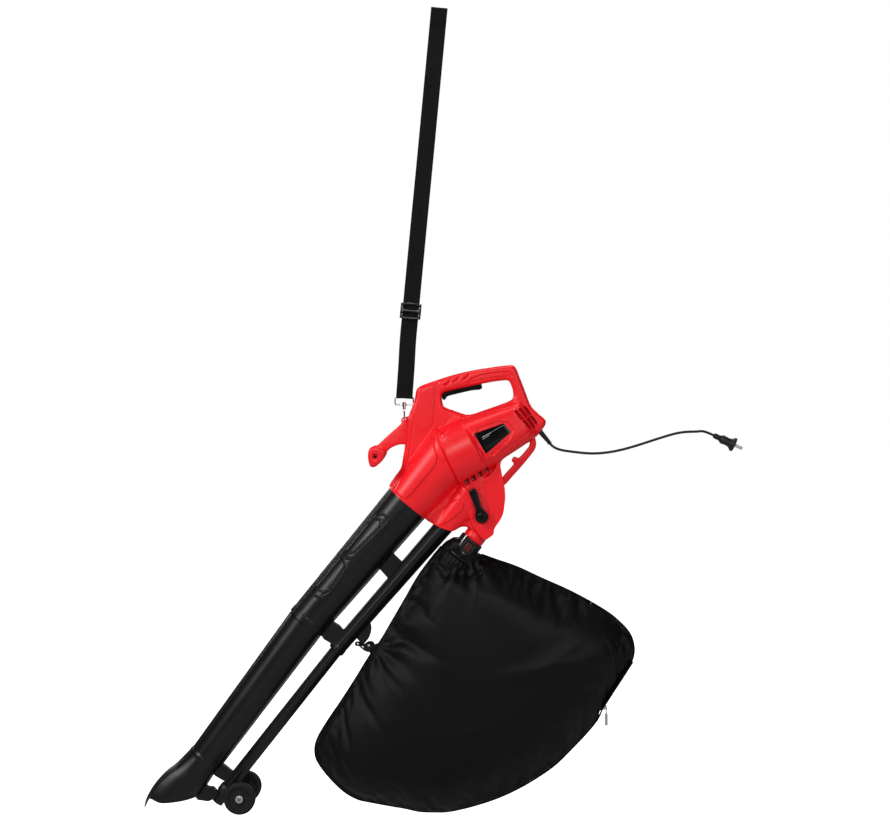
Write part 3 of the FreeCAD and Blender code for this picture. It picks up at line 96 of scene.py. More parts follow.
def weave(name, colour, roughness, pitch, depth, sheen, along_uv=False):
    """Woven cloth: crossed threads, read from the piece's own length and girth where it has them."""
    m, nodes, links, shader = new_surface(name)
    shader.inputs["Sheen Weight"].default_value = sheen
    shader.inputs["Sheen Roughness"].default_value = 0.45
    shader.inputs["Specular IOR Level"].default_value = 0.17
    shader.inputs["Roughness"].default_value = roughness
    where = nodes.new("ShaderNodeTexCoord")
    cross = nodes.new("ShaderNodeMath")
    cross.operation = "MULTIPLY"
    for number, direction in enumerate(("X", "Y" if along_uv else "Z")):
        band = add_node(nodes, "ShaderNodeTexWave", Scale=1.0 / pitch, Distortion=0.6, Detail_Scale=2.0)
        band.bands_direction = direction
        links.new(where.outputs["UV" if along_uv else "Object"], band.inputs["Vector"])
        links.new(band.outputs["Fac"], cross.inputs[number])
    cloud = add_node(nodes, "ShaderNodeTexNoise", Scale=9.0, Detail=6.0)
    links.new(where.outputs["Object"], cloud.inputs["Vector"])
    blend = nodes.new("ShaderNodeMath")
    blend.operation = "MULTIPLY_ADD"
    blend.inputs[1].default_value = 0.35
    links.new(cross.outputs["Value"], blend.inputs[0])
    links.new(cloud.outputs["Fac"], blend.inputs[2])
    ramp = colour_ramp(nodes, 0.35, [c * 0.6 for c in colour], 0.95, [c * 1.3 for c in colour])
    links.new(blend.outputs["Value"], ramp.inputs["Fac"])
    links.new(ramp.outputs["Color"], shader.inputs["Base Color"])
    add_relief(nodes, links, shader, cross.outputs["Value"], depth, 0.0005)
    return m


RED = material("red_shell", (0.98, 0.010, 0.018), 0.33, bump=0.07, scale=1400, shine=0.34)
# a darker copy of the red shell: painted shade for the vent slots, the grip's screw recesses and the front
# handle screw
PAINTED_SHADE_RED = material("red_painted_shade", (0.50, 0.005, 0.010), 0.6, bump=0.1, shine=0.2)
BLACK = material("black_tube", (0.0022, 0.0025, 0.0028), 0.33, bump=0.07, scale=1700, shine=0.34)
SATIN = material("black_satin", (0.0026, 0.0028, 0.003), 0.2, bump=0.05, scale=1200, shine=0.32)
DARK = material("dark_moulding", (0.006, 0.006, 0.0065), 0.42, bump=0.2, shine=0.35)
TYRE = material("wheel_plastic", (0.004, 0.004, 0.0044), 0.62, bump=0.9, scale=700, shine=0.3)
CLOTH = weave("bag_cloth", (0.0012, 0.0012, 0.0013), 0.46, 0.0009, 0.2, 0.012)
WEB = weave("strap_web", (0.003, 0.003, 0.0034), 0.6, 0.0016, 0.9, 0.05, along_uv=True)
CHROME = material("chrome_plate", (0.56, 0.56, 0.58), 0.18, metallic=1.0, bump=0.03)
STEEL = material("bright_steel", (0.62, 0.63, 0.65), 0.3, metallic=1.0, bump=0.12)
BRASS = material("brass_part", (0.75, 0.55, 0.22), 0.32, metallic=1.0, bump=0.08)
NICKEL = material("nickel_pin", (0.74, 0.72, 0.68), 0.22, metallic=1.0, bump=0.05)
COPPER = material("copper_wire", (0.72, 0.26, 0.11), 0.34, metallic=1.0, bump=0.9, scale=1500)
CORE = material("laminated_core", (0.22, 0.22, 0.23), 0.48, metallic=0.9, bump=0.6, scale=1800)
CARBON = material("carbon_block", (0.02, 0.02, 0.021), 0.55, bump=0.4)
GLOSS = material("label_gloss", (0.0016, 0.0018, 0.0026), 0.14, bump=0.01, shine=0.22)
GREY = material("grey_print", (0.35, 0.36, 0.37), 0.4, bump=0.05)
RUBBER = material("cord_rubber", (0.005, 0.005, 0.0055), 0.45, bump=0.3, scale=1100, shine=0.35)
FAN = material("fan_plastic", (0.03, 0.031, 0.033), 0.45, bump=0.2)
WINDOW = material("dark_red_part", (0.10, 0.006, 0.008), 0.28, bump=0.05)
FLOOR = material("studio_paper", (0.62, 0.62, 0.62), 0.85, bump=0.05, scale=300, shine=0.05)


def seen_by_camera(m, strength):
    """Let a surface glow for the camera only, so that it does not light or reflect in the object."""
    nodes, links = m.node_tree.nodes, m.node_tree.links
    path = nodes.new("ShaderNodeLightPath")
    gain = nodes.new("ShaderNodeMath")
    gain.operation = "MULTIPLY"
    gain.inputs[1].default_value = strength
    links.new(path.outputs["Is Camera Ray"], gain.inputs[0])
    links.new(gain.outputs["Value"], nodes["Principled BSDF"].inputs["Emission Strength"])


seen_by_camera(FLOOR, 1.85)

# a surface, the body that carries it and the name of a slot of the work order's materials
RED_PART = (RED, "machine", "red_plastic")
BLACK_PART = (BLACK, "machine", "black_plastic")
DARK_PART = (DARK, "machine", "dark_plastic")
LEVER_PART = (SATIN, "mode_selector", "black_plastic")
BUCKLE_PART = (SATIN, "buckle", "black_plastic")
STRAP_PART = (WEB, "strap", "webbing")
BAG_PART = (CLOTH, "bag_unit", "bag_fabric")
BAG_FITTING = (DARK, "bag_unit", "dark_plastic")


# ---------------------------------------------------------------- plane geometry in millimetres
def distance(x, z, points, closed=False):
    """Distance to a line of points, and the nearest place on it."""
    best = np.full(np.shape(x), 1e9)
    near_x = np.zeros(np.shape(x))
    near_z = np.zeros(np.shape(x))
    line = list(points) + ([points[0]] if closed else [])
    for (x0, z0), (x1, z1) in zip(line, line[1:]):
        dx, dz = x1 - x0, z1 - z0
        t = np.clip(((x - x0) * dx + (z - z0) * dz) / max(dx * dx + dz * dz, 1e-9), 0, 1)
        px, pz = x0 + t * dx, z0 + t * dz
        gap = np.hypot(x - px, z - pz)
        closer = gap < best
        best = np.where(closer, gap, best)
        near_x = np.where(closer, px, near_x)
        near_z = np.where(closer, pz, near_z)
    return best, near_x, near_z


def within(x, z, points):
    result = np.zeros(np.shape(x), bool)
    for (x0, z0), (x1, z1) in zip(points, points[1:] + points[:1]):
        if z0 != z1:
            crossing = (z0 > z) != (z1 > z)
            result ^= crossing & (x < (x1 - x0) * (z - z0) / (z1 - z0) + x0)
    return result


def depth_in(x, z, points):
    """Positive inside the outline, negative outside."""
    gap = distance(x, z, points, True)[0]
    return np.where(within(x, z, points), gap, -gap)


def softened(points, rounds=2, cut=0.22):
    for _ in range(rounds):
        result = []
        for (x0, z0), (x1, z1) in zip(points, points[1:] + points[:1]):
            result.append((x0 + cut * (x1 - x0), z0 + cut * (z1 - z0)))
            result.append((x1 - cut * (x1 - x0), z1 - cut * (z1 - z0)))
        points = result
    return points


def grown(points, amount):
    """The closed outline moved outward, or inward for a negative amount."""
    p = np.array(points, float)
    run = np.roll(p, -1, 0) - np.roll(p, 1, 0)
    run /= np.maximum(np.linalg.norm(run, axis=1), 1e-9)[:, None]
    area = np.sum(p[:, 0] * np.roll(p[:, 1], -1) - np.roll(p[:, 0], -1) * p[:, 1])
    out = np.stack([run[:, 1], -run[:, 0]], 1) * np.sign(area)
    return [tuple(q) for q in p + out * amount]


def spline(points, count):
    """A smooth curve through the points, evenly spaced."""
    p = np.array(points, float)
    p = np.vstack([2 * p[0] - p[1], p, 2 * p[-1] - p[-2]])
    result = []
    for i in range(1, len(p) - 2):
        for t in np.linspace(0, 1, 24, endpoint=False):
            a, b, c, d = p[i - 1], p[i], p[i + 1], p[i + 2]
            square, cube = (2 * a - 5 * b + 4 * c - d) * t**2, (3 * b - a - 3 * c + d) * t**3
            result.append(0.5 * (2 * b + (c - a) * t + square + cube))
    result.append(p[-2])
    result = np.array(result)
    length = travelled(result)
    at = np.linspace(0, length[-1], count)
    return np.stack([np.interp(at, length, result[:, k]) for k in range(p.shape[1])], 1)


def step(value, low, high):
    t = np.clip((value - low) / (high - low), 0, 1)
    return t * t * (3 - 2 * t)


def soft_max(a, b, k):
    h = np.clip(0.5 + 0.5 * (a - b) / k, 0, 1)
    return b * (1 - h) + a * h + k * h * (1 - h)


def unit(tilt):
    """Direction that leans from straight up towards +X by the tilt in degrees."""
    return math.sin(math.radians(tilt)), math.cos(math.radians(tilt))


def beside(origin, tilt, along, out):
    """The place that lies along an axis from its origin and out to the lower right of it."""
    ux, uz = unit(tilt)
    return origin[0] + along * ux + out * uz, origin[1] + along * uz - out * ux


def bell(offset, width):
    """1 where the offset is zero, falling smoothly to 0."""
    return np.exp(-((offset / width) ** 2))


def full_turn(count):
    return np.linspace(0, 2 * math.pi, count, endpoint=False)


def signed_degrees(turn):
    """The same angles in degrees, from -180 to 180."""
    return np.degrees((turn + math.pi) % (2 * math.pi) - math.pi)


def travelled(points):
    """The distance along a path to each of its points."""
    return np.concatenate([[0], np.cumsum(np.linalg.norm(np.diff(points, axis=0), axis=1))])


# ---------------------------------------------------------------- mesh helpers
def make(name, verts, faces, surface, body, slot, angle=40.0, uvs=None, second=None, second_faces=None):
    mesh = bpy.data.meshes.new(name)
    mesh.from_pydata((np.asarray(verts, float) * MM).tolist(), [], [tuple(int(i) for i in f) for f in faces])
    mesh.materials.append(surface)
    if second is not None:
        mesh.materials.append(second)
        mesh.polygons.foreach_set("material_index", np.asarray(second_faces, np.int32))
    if uvs is not None:
        layer = mesh.uv_layers.new(name="UVMap")
        loop_verts = np.zeros(len(mesh.loops), np.int32)
        mesh.loops.foreach_get("vertex_index", loop_verts)
        layer.data.foreach_set("uv", (np.asarray(uvs, float)[loop_verts] * MM).astype(np.float32).ravel())
    return place(name, mesh, body, angle)


def place(name, mesh, body, angle=40.0):
    bm = bmesh.new()
    bm.from_mesh(mesh)
    bmesh.ops.remove_doubles(bm, verts=bm.verts, dist=2e-6)
    bmesh.ops.dissolve_degenerate(bm, edges=bm.edges, dist=1e-7)
    bmesh.ops.recalc_face_normals(bm, faces=bm.faces)
    bm.to_mesh(mesh)
    bm.free()
    mesh.shade_smooth()
    mesh.set_sharp_from_angle(angle=math.radians(angle))
    obj = bpy.data.objects.new(name, mesh)
    bpy.context.scene.collection.objects.link(obj)
    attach(obj, body)
    return obj


def grid_faces(rows, cols, wrap_rows=False, wrap_cols=True):
    """The faces of a net of rows, each of which is a ring of points unless the columns do not wrap."""
    faces = []
    for i in range(rows if wrap_rows else rows - 1):
        for j in range(cols if wrap_cols else cols - 1):
            a, b = i * cols + j, i * cols + (j + 1) % cols
            c, d = ((i + 1) % rows) * cols + (j + 1) % cols, ((i + 1) % rows) * cols + j
            faces.append((a, b, c, d))
    return faces


def capped_faces(rows, count):
    """Rings joined into a closed body, with a face over each end."""
    last = rows * count - 1
    return grid_faces(rows, count) + [tuple(range(count)), tuple(range(last, last - count, -1))]


def wall_faces(rows, count):
    """Two sets of rings, one inside the other, joined into the wall of a tube with a rim at each end."""
    total = rows * count
    outer = grid_faces(rows, count)
    faces = outer + [tuple(i + total for i in reversed(f)) for f in outer]
    last = total - count
    for j in range(count):
        k = (j + 1) % count
        faces.append((j, k, k + total, j + total))
        faces.append((last + k, last + j, last + j + total, last + k + total))
    return faces


def turned(name, origin, axis, profile, surface, body, slot, count=72, angle=40.0):
    """Turns a profile of (along, radius) about an axis; closes it unless both ends lie on the axis."""
    w = Vector(axis).normalized()
    u = w.orthogonal().normalized()
    v = w.cross(u)
    turn = full_turn(count)
    rim = np.cos(turn)[:, None] * np.array(u) + np.sin(turn)[:, None] * np.array(v)
    rows = [np.array(origin) + s * np.array(w) + max(r, 0.0) * rim for s, r in profile]
    ring = profile[0][1] > 0 or profile[-1][1] > 0
    return make(name, np.concatenate(rows), grid_faces(len(profile), count, ring), surface, body, slot, angle)


def swept(name, path, section, surface, body, slot, angle=40.0, scale=None, side=0.0):
    """Sweeps a closed section of (in plane, across) points along a path in the XZ plane, with closed ends."""
    path = np.array(path, float)
    path3 = path if path.shape[1] == 3 else np.stack([path[:, 0], np.full(len(path), side), path[:, 1]], 1)
    tangent = np.gradient(path3, axis=0)
    tangent /= np.linalg.norm(tangent, axis=1)[:, None]
    across = np.tile(np.array([0.0, 1.0, 0.0]), (len(path3), 1))
    normal = np.cross(tangent, across)
    normal /= np.linalg.norm(normal, axis=1)[:, None]
    across = np.cross(normal, tangent)
    section = np.array(section, float)
    count = len(section)
    factor = np.ones(len(path3)) if scale is None else np.array(scale, float)
    verts = []
    for i in range(len(path3)):
        local = section * factor[i]
        verts.append(path3[i] + local[:, :1] * normal[i] + local[:, 1:] * across[i])
    faces = capped_faces(len(path3), count)
    uvs = np.stack([np.repeat(travelled(path3), count), np.tile(travelled(section), len(path3))], 1)
    return make(name, np.concatenate(verts), faces, surface, body, slot, angle, uvs)


def round_section(radius, count=24):
    turn = full_turn(count)
    return np.stack([radius * np.cos(turn), radius * np.sin(turn)], 1)


def flat_section(half_depth, half_width, rounding, per_corner=5):
    """A rectangle with rounded corners, as (in plane, across)."""
    points = []
    for sx, sy, start in ((1, 1, 0), (-1, 1, 90), (-1, -1, 180), (1, -1, 270)):
        for a in np.linspace(start, start + 90, per_corner):
            points.append(
                (
                    sx * (half_depth - rounding) + rounding * math.cos(math.radians(a)),
                    sy * (half_width - rounding) + rounding * math.sin(math.radians(a)),
                )
            )
    return points


def plate(name, outline, low, high, bevel, surface, body, slot, holes=(), soften=True, angle=35.0):
    """A flat moulded part in the XZ plane between two Y values, with rounded edges."""
    curve = bpy.data.curves.new(name, "CURVE")
    curve.dimensions = "2D"
    curve.fill_mode = "BOTH"
    curve.extrude = ((high - low) / 2 - bevel) * MM
    curve.bevel_depth = bevel * MM
    curve.bevel_resolution = 3
    curve.offset = -bevel * MM
    for points in [outline] + list(holes):
        points = softened(points) if soften else points
        line = curve.splines.new("POLY")
        line.points.add(len(points) - 1)
        for p, (x, z) in zip(line.points, points):
            p.co = (x * MM, z * MM, 0, 1)
        line.use_cyclic_u = True
    source = bpy.data.objects.new(name + "_source", curve)
    bpy.context.scene.collection.objects.link(source)
    graph = bpy.context.evaluated_depsgraph_get()
    mesh = bpy.data.meshes.new_from_object(source.evaluated_get(graph))
    bpy.data.objects.remove(source)
    mesh.name = name
    for v in mesh.vertices:
        v.co = (v.co.x, (low + high) / 2 * MM - v.co.z, v.co.y)
    mesh.materials.clear()
    mesh.materials.append(surface)
    return place(name, mesh, body, angle)


# ---------------------------------------------------------------- housing
OUTLINE = [
    (300.5, 655.5), (301.5, 664), (313, 680), (325.4, 696), (328.5, 716), (332.6, 739), (334, 762),
    (337, 792), (341, 806), (348.5, 823.7), (352.8, 836), (356, 857), (363, 863), (374.5, 867.6),
    (399.8, 876.4), (425, 884.4), (449.8, 891.1), (480, 897.2), (512.5, 902.2), (535, 905.2),
    (553.5, 906.9), (559, 901), (566, 882), (575.4, 858), (588, 823.7), (603, 809.5), (620.5, 794),
    (618, 783), (608, 770), (597.4, 757.7), (560, 734), (524, 711.5), (529.7, 678.8), (534.5, 658.7),
    (536, 638.8), (532.6, 607), (526, 592), (513, 574), (512.5, 563), (504, 556), (490, 548), (475, 559),
    (467.5, 567), (459, 577), (446, 577), (431, 568), (420, 570.5), (387, 583.6), (377, 590), (369, 597.8),
]
OPENING = [
    (408, 851), (407.5, 836), (411, 823), (420, 818.5), (438, 812.5), (462.5, 803.6), (500, 816.5),
    (544, 832), (552, 837), (554.5, 845), (553, 858), (547, 873), (541, 876.5), (515, 873.5), (486, 867.8),
    (450, 860),
]
MOUTHS = [[(300.5, 655.5), (369, 597.8)], [(387, 583.6), (431, 568)]]
# axes, as the X and Z of a point and the tilt from upright in degrees
MOTOR = (452.0, 731.0, 63.0)
DUCT = (337.3, 624.5, 40.2)
BLOW = (410.0, 573.0, 41.08)
OUTLET = (488.3, 599.0, -10.0)
VALVE = OUTLET[:2]
NECK, NECK_TILT = (463.0, 540.0), 38.5
VENTS = [((556.6, 812.6), (586.3, 778.2)), ((565.8, 817.3), (594.3, 781.3)), ((576.9, 820.6), (600.4, 787.6))]
SCREWS = [(350, 772), (366, 846), (555, 888), (604, 795), (522, 672)]
LABEL = [(473.4, 767), (531.6, 787.6), (547, 770.4), (497, 727)]


def along_axis(x, z, origin_x, origin_z, tilt):
    """Distance along an axis and across it, positive to the upper left."""
    ux, uz = unit(tilt)
    return (x - origin_x) * ux + (z - origin_z) * uz, -(x - origin_x) * uz + (z - origin_z) * ux


def tube_height(q, radius, power=2.0):
    """Height of the side of a round or squarish tube."""
    share = np.clip(np.abs(q) / radius, 0, 1)
    return radius * (1 - share**power) ** (1 / power)


def rounded_end(height, room, rounding):
    """Lowers a height near an end so that its edge is rounded."""
    near = np.clip(rounding - room, 0, rounding)
    drop = rounding - np.sqrt(np.maximum(rounding**2 - near**2, 0))
    return np.where(room > 0, height - drop, 0)


def vent_slot(number):
    """The lower left corner of one of the four slots beside the valve."""
    return 459 + 13.4 * number, 664 + 7.6 * number


def housing_height(x, z, edge, left):
    """How far the housing stands out from its middle plane, and where a slot gets painted shade."""
    slab = rounded_end(np.full(x.shape, 19.0), edge + 1e-6, 10.0)
    slab = np.maximum(slab, 9.0)
    s, q = along_axis(x, z, *MOTOR)
    fan = rounded_end(tube_height(q, 65.5, 2.15), np.minimum(s + 37, 26 - s), 5.0)
    barrel_radius = 60 - 18 * np.clip((s - 22) / 118, 0, 1)
    barrel = tube_height(q, barrel_radius, 2.9) * np.sqrt(1 - np.clip((s - 128) / 27, 0, 1) ** 2)
    barrel = np.where(s > 0, barrel, 0)
    t, c = along_axis(x, z, *DUCT)
    duct = np.where(t < 155, tube_height(c, 49.8 + 9.5 * np.clip(t / 130, 0, 1.2), 2.1), 0)
    bt, bc = along_axis(x, z, *BLOW)
    blow = np.where(bt < 92, tube_height(bc, 24.5 + 12 * np.clip(bt / 80, 0, 1.2), 2.3), 0)
    chamber_line = [
        (440, 650), (470, 667), (500.5, 679), (514, 694), (521, 712), (545, 700), (545, 560), (508, 545),
        (488, 553), (468, 580), (462, 611),
    ]
    room = depth_in(x, z, softened(chamber_line, 1, 0.12))
    chamber = rounded_end(np.full(x.shape, 32.5), room, 3.0)
    outlet_s, outlet_q = along_axis(x, z, *OUTLET)
    outlet = np.where((outlet_s > 0) & (outlet_s < 100), tube_height(outlet_q, 34, 2.4), 0)
    eye = soft_max(slab, duct, 5.0)
    eye = soft_max(eye, blow, 4.0)
    eye = soft_max(eye, outlet, 3.0)
    eye = np.where(chamber > eye, soft_max(eye, chamber, 1.5), eye)
    eye = soft_max(eye, barrel, 2.5)
    h = np.where(fan > eye - 4, soft_max(eye, fan, 2.0), eye)

    def raised(points, amount, border, rounds=2):
        return amount * step(depth_in(x, z, softened(points, rounds)), -border / 2, border / 2)

    def groove(points, width, deep):
        return -deep * bell(distance(x, z, points)[0], width)

    for points, amount, border in (
        ([(306, 655), (330, 636), (338, 637.5), (395, 705), (398, 723), (390.7, 740), (389, 750)], 3.2, 1.6),
        ([(392, 760), (399, 764), (419.5, 723), (410, 710), (399, 722), (392, 741)], 1.6, 1.4),
        ([(380, 586), (439, 638.5), (456, 620), (427, 592), (400, 578)], 2.6, 1.6),
    ):
        h = h + raised(points, amount, border, 1)
    for points, width, deep in (
        ([(393, 774), (399, 755), (416, 718), (427, 697), (437, 679), (456, 671)], 1.4, 2.4),
        ([(445, 794), (466, 765), (494, 720), (502, 690)], 1.4, 2.4),
        ([(371, 596), (404, 622), (436, 648), (438, 668)], 1.4, 1.4),
        ([(344, 812), (349, 786), (346, 760), (341, 722), (335, 700), (309, 664)], 1.5, 1.5),
        ([(400, 880), (396, 846), (393, 800), (391, 779)], 5.0, 2.2),
    ):
        h = h + groove(points, width, deep)
    grip = [(456, 869), (461, 876), (489, 889), (543, 896), (551, 886), (548, 881), (500, 878), (470, 870)]
    for points, amount, border, rounds in (
        ([(356, 768), (389, 778), (392, 836), (392, 868), (366, 856), (361, 836)], 0.8, 9.0, 2),
        ([(359, 739), (364, 739), (369, 744), (366, 746)], 1.0, 1.6, 1),
        (grip, -2.2, 1.4, 2),
        ([(468, 874), (491, 884), (541, 891), (543, 886), (500, 881.5)], 1.2, 1.6, 2),
    ):
        h = h + raised(points, amount, border, rounds)
    for px, pz in ((414, 866), (433, 874), (453, 879)):
        h = h + groove([(px, pz), (px + 7, pz + 4), (px + 9, pz + 9)], 1.9, 3.2)
    h = h + raised([(402, 760), (424, 797), (446, 806), (448, 797), (428, 788), (408, 754)], 1.0, 3.0)
    panel = [(466, 775), (535.7, 797.5), (558.5, 768.5), (497.6, 709)]
    h = h + raised(panel, -2.4, 1.2, 1)
    h = h + groove([(452, 792), (514, 811), (556, 822)], 1.4, 2.0)
    h = h + groove([(583, 768), (524, 726)], 1.4, 1.8)
    if left:
        h = h + raised(LABEL, -0.6, 1.0, 0)
        recess = [
            (468, 646), (490, 660), (506, 646), (502, 612), (506, 590), (486, 578), (470, 590), (474, 612),
        ]
        h = h + raised(recess, -1.0, 2.0)
    # mark the vent slots, whose faces get the darker red as painted shade
    painted_slot_shade = np.zeros(x.shape, bool)
    for (ax, az), (bx, bz) in VENTS:
        gap = distance(x, z, [(ax, az), (bx, bz)])[0]
        rib = np.abs(distance(x, z, [(568, 792), (592, 806)])[0]) < 1.4
        h = np.where(gap < 4.6, h + 0.8 * step(4.6 - gap, 0, 1.4), h)
        h = np.where((gap < 2.1) & ~rib, h - 7.0, h)
        painted_slot_shade |= (gap < 2.1) & ~rib
    for i in range(4):
        px, pz = vent_slot(i)
        slot = [(px - 2.2, pz - 1.5), (px + 5.2, pz + 2.4), (px + 2.0, pz + 12.5), (px - 5.6, pz + 8.5)]
        cut = within(x, z, slot)
        h = np.where(cut, np.minimum(h, 24.0), h)
        painted_slot_shade |= cut
    for px, pz in [] if left else SCREWS:
        gap = np.hypot(x - px, z - pz)
        h = h + 0.9 * step(7.5 - gap, 0, 1.6)
        h = np.where(gap < 4.4, np.minimum(h, 19.2), h)
    return h, painted_slot_shade


def housing_half(name, sign, replaced):
    """A moulded half shell: an outer surface, an inner surface one wall below it, and the joint edge."""
    pitch = 1.1
    rim = grown(softened(OUTLINE, 2, 0.2), 0.7)
    hole = softened(OPENING, 2, 0.2)
    xs = np.arange(298.0, 624.0, pitch)
    zs = np.arange(550.0, 910.0, pitch)
    x, z = np.meshgrid(xs, zs, indexing="ij")
    ok = within(x, z, rim) & ~within(x, z, hole)
    cell = ok[:-1, :-1] & ok[1:, :-1] & ok[:-1, 1:] & ok[1:, 1:]
    for _ in range(3):
        a, b, c, d = cell[:-1, :-1], cell[1:, 1:], cell[1:, :-1], cell[:-1, 1:]
        pinch = (a & b & ~c & ~d) | (~a & ~b & c & d)
        cell[:-1, :-1] &= ~pinch
        cell[1:, :-1] &= ~pinch
    index = np.arange(x.size).reshape(x.shape)
    i, j = np.nonzero(cell)
    quads = np.stack([index[i, j], index[i + 1, j], index[i + 1, j + 1], index[i, j + 1]], 1)
    used = np.unique(quads)
    remap = np.full(x.size, -1)
    remap[used] = np.arange(len(used))
    quads = remap[quads]
    vx, vz = x.ravel()[used].copy(), z.ravel()[used].copy()
    sides = np.concatenate([quads[:, [k, (k + 1) % 4]] for k in range(4)])
    key = sides[:, 0] * len(used) + sides[:, 1]
    reverse = sides[:, 1] * len(used) + sides[:, 0]
    loose = sides[~np.isin(key, reverse)]
    border = np.unique(loose)
    gap_rim, rx, rz = distance(vx[border], vz[border], rim, True)
    gap_hole, hx, hz = distance(vx[border], vz[border], hole, True)
    vx[border] = np.where(gap_rim < gap_hole, rx, hx)
    vz[border] = np.where(gap_rim < gap_hole, rz, hz)
    edge = np.minimum(distance(vx, vz, rim, True)[0], distance(vx, vz, hole, True)[0])
    open_gap = np.minimum(distance(vx, vz, MOUTHS[0])[0], distance(vx, vz, MOUTHS[1])[0])
    t, c = along_axis(vx, vz, *DUCT)
    bt, bc = along_axis(vx, vz, *BLOW)
    at_mouth = (open_gap < 6) & ((np.abs(c) < 46.5) & (t < 30) | (np.abs(bc) < 21) & (bt < 30))
    h, painted_slot_shade = housing_height(vx, vz, np.where(at_mouth, 30.0, edge), sign < 0)
    mouth_base = np.where(t < 40, tube_height(c, 49.8, 2.0), 0)
    blow_base = np.where(bt < 40, tube_height(bc, 24.5, 2.0), 0)
    base = np.maximum(mouth_base, blow_base)
    h = np.where(at_mouth, base + (h - np.minimum(h, base)), h)
    inner = np.where((edge < 3.0) & ~at_mouth, 0.12, np.maximum(h - 2.6, 0.2))
    count = len(used)
    outer_verts = np.stack([vx, sign * h, vz], 1)
    inner_verts = np.stack([vx, sign * inner, vz], 1)
    verts = np.concatenate([outer_verts, inner_verts])
    joint = np.stack([loose[:, 1], loose[:, 0], loose[:, 0] + count, loose[:, 1] + count], 1)
    faces = np.concatenate([quads, quads[:, ::-1] + count, joint])
    # faces in the vent slots take the second, darker red: painted shade
    dark = painted_slot_shade[quads].sum(1) >= 3
    painted_shade_index = np.concatenate([dark.astype(int), np.zeros(len(faces) - len(quads), int)])
    obj = make(name, verts, faces, *RED_PART, 50.0, second=PAINTED_SHADE_RED, second_faces=painted_shade_index)
    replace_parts(obj, replaced)
    return obj


housing_half("housing_shell_left", -1, "housing_left")
housing_half("housing_shell_right", 1, "housing_right")


# ---------------------------------------------------------------- housing details
def outward_face(x, z, lift):
    """Points on the left side of the housing, lifted off its surface."""
    h = housing_height(x, z, np.full(np.shape(x), 30.0), True)[0]
    return -(h + lift)


def label_plate():
    """A glossy blank plate that follows the barrel, with a few plain ruled lines in place of words."""
    corners = np.array(LABEL, float)
    centre = corners.mean(0)
    corners = centre + (corners - centre) * 1.02
    size = 40
    a = np.linspace(0, 1, size)
    u, v = np.meshgrid(a, a, indexing="ij")
    p = (
        (1 - u)[..., None] * (1 - v)[..., None] * corners[0]
        + u[..., None] * (1 - v)[..., None] * corners[1]
        + (u * v)[..., None] * corners[2]
        + ((1 - u) * v)[..., None] * corners[3]
    )
    x, z = p[..., 0].ravel(), p[..., 1].ravel()
    rim = np.minimum(np.minimum(u, 1 - u), np.minimum(v, 1 - v)).ravel()
    top = np.stack([x, outward_face(x, z, 0.2 + 1.0 * step(rim, 0, 0.04)), z], 1)
    low = np.stack([x, outward_face(x, z, -1.6), z], 1)
    count = len(x)
    face = grid_faces(size, size, False, False)
    faces = face + [tuple(i + count for i in reversed(f)) for f in face]
    end = size - 1
    loop = [i * size for i in range(size)] + [end * size + i for i in range(1, size)]
    loop += [i * size + end for i in range(end - 1, -1, -1)] + list(range(end - 1, 0, -1))
    for a0, b0 in zip(loop, loop[1:] + loop[:1]):
        faces.append((a0, b0, b0 + count, a0 + count))
    obj = make("label_plate", np.concatenate([top, low]), faces, GLOSS, "machine", "label_black", 50.0)
    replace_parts(obj, "name_plate")
    rules = [
        ((0.16, 0.30), (0.50, 0.26), 0.9), ((0.54, 0.25), (0.97, 0.16), 0.35),
        ((0.15, 0.38), (0.40, 0.35), 0.5),
    ]
    for number, (start, end, half) in enumerate(rules):
        line = []
        for t in np.linspace(0, 1, 24):
            a0 = start[0] + (end[0] - start[0]) * t
            b0 = start[1] + (end[1] - start[1]) * t
            shares = ((1 - a0) * (1 - b0), a0 * (1 - b0), a0 * b0, (1 - a0) * b0)
            spot = sum(share * corner for share, corner in zip(shares, corners))
            line.append((spot[0], outward_face(spot[:1], spot[1:], 1.25)[0], spot[1]))
        swept(f"label_rule_{number}", line, flat_section(half, 0.12, 0.1, 3), GREY, "machine", "label_black")


label_plate()


def valve_arc(radius, low, high, count):
    turn = np.radians(np.linspace(low, high, count))
    return [(VALVE[0] + radius * math.cos(a), VALVE[1] + radius * math.sin(a)) for a in turn]


wing = valve_arc(22.4, 176, 221, 24) + valve_arc(20.4, 221, 176, 24)
shutter = plate("air_flap_wing", wing, -27, 22.5, 0.6, *LEVER_PART, soften=False)
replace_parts(shutter, "air_flap")
for number, y in enumerate((-22, 0, 18)):
    spoke = valve_arc(5.5, 184, 213, 4) + valve_arc(20.9, 205, 192, 6)
    plate(f"air_flap_spoke_{number}", spoke, y - 1.2, y + 1.2, 0.5, *LEVER_PART, soften=False)
for number in range(4):
    px, pz = vent_slot(number)
    fin = [(px - 1.2, pz - 0.4), (px - 0.2, pz + 0.1), (px - 3.6, pz + 10.2), (px - 4.6, pz + 9.7)]
    plate(f"vent_fin_{number}", fin, -27.5, -22.5, 0.3, GREY, "machine", "steel", soften=False)
bracket = [
    (586, 766), (598, 760), (601, 750), (600.5, 741), (597, 731.5), (572, 701), (553, 680), (536, 660),
    (528, 662), (530, 676), (549, 697), (556, 705), (549.5, 711), (555.5, 720.5), (561, 718), (566, 716.5),
    (581.4, 734), (586.5, 741), (587.8, 746),
]
plate("rear_bracket", bracket, -7.5, 7.5, 2.2, *RED_PART)
eye_hole = [(331 + 3.9 * math.cos(a), 794 + 3.9 * math.sin(a)) for a in full_turn(24)]
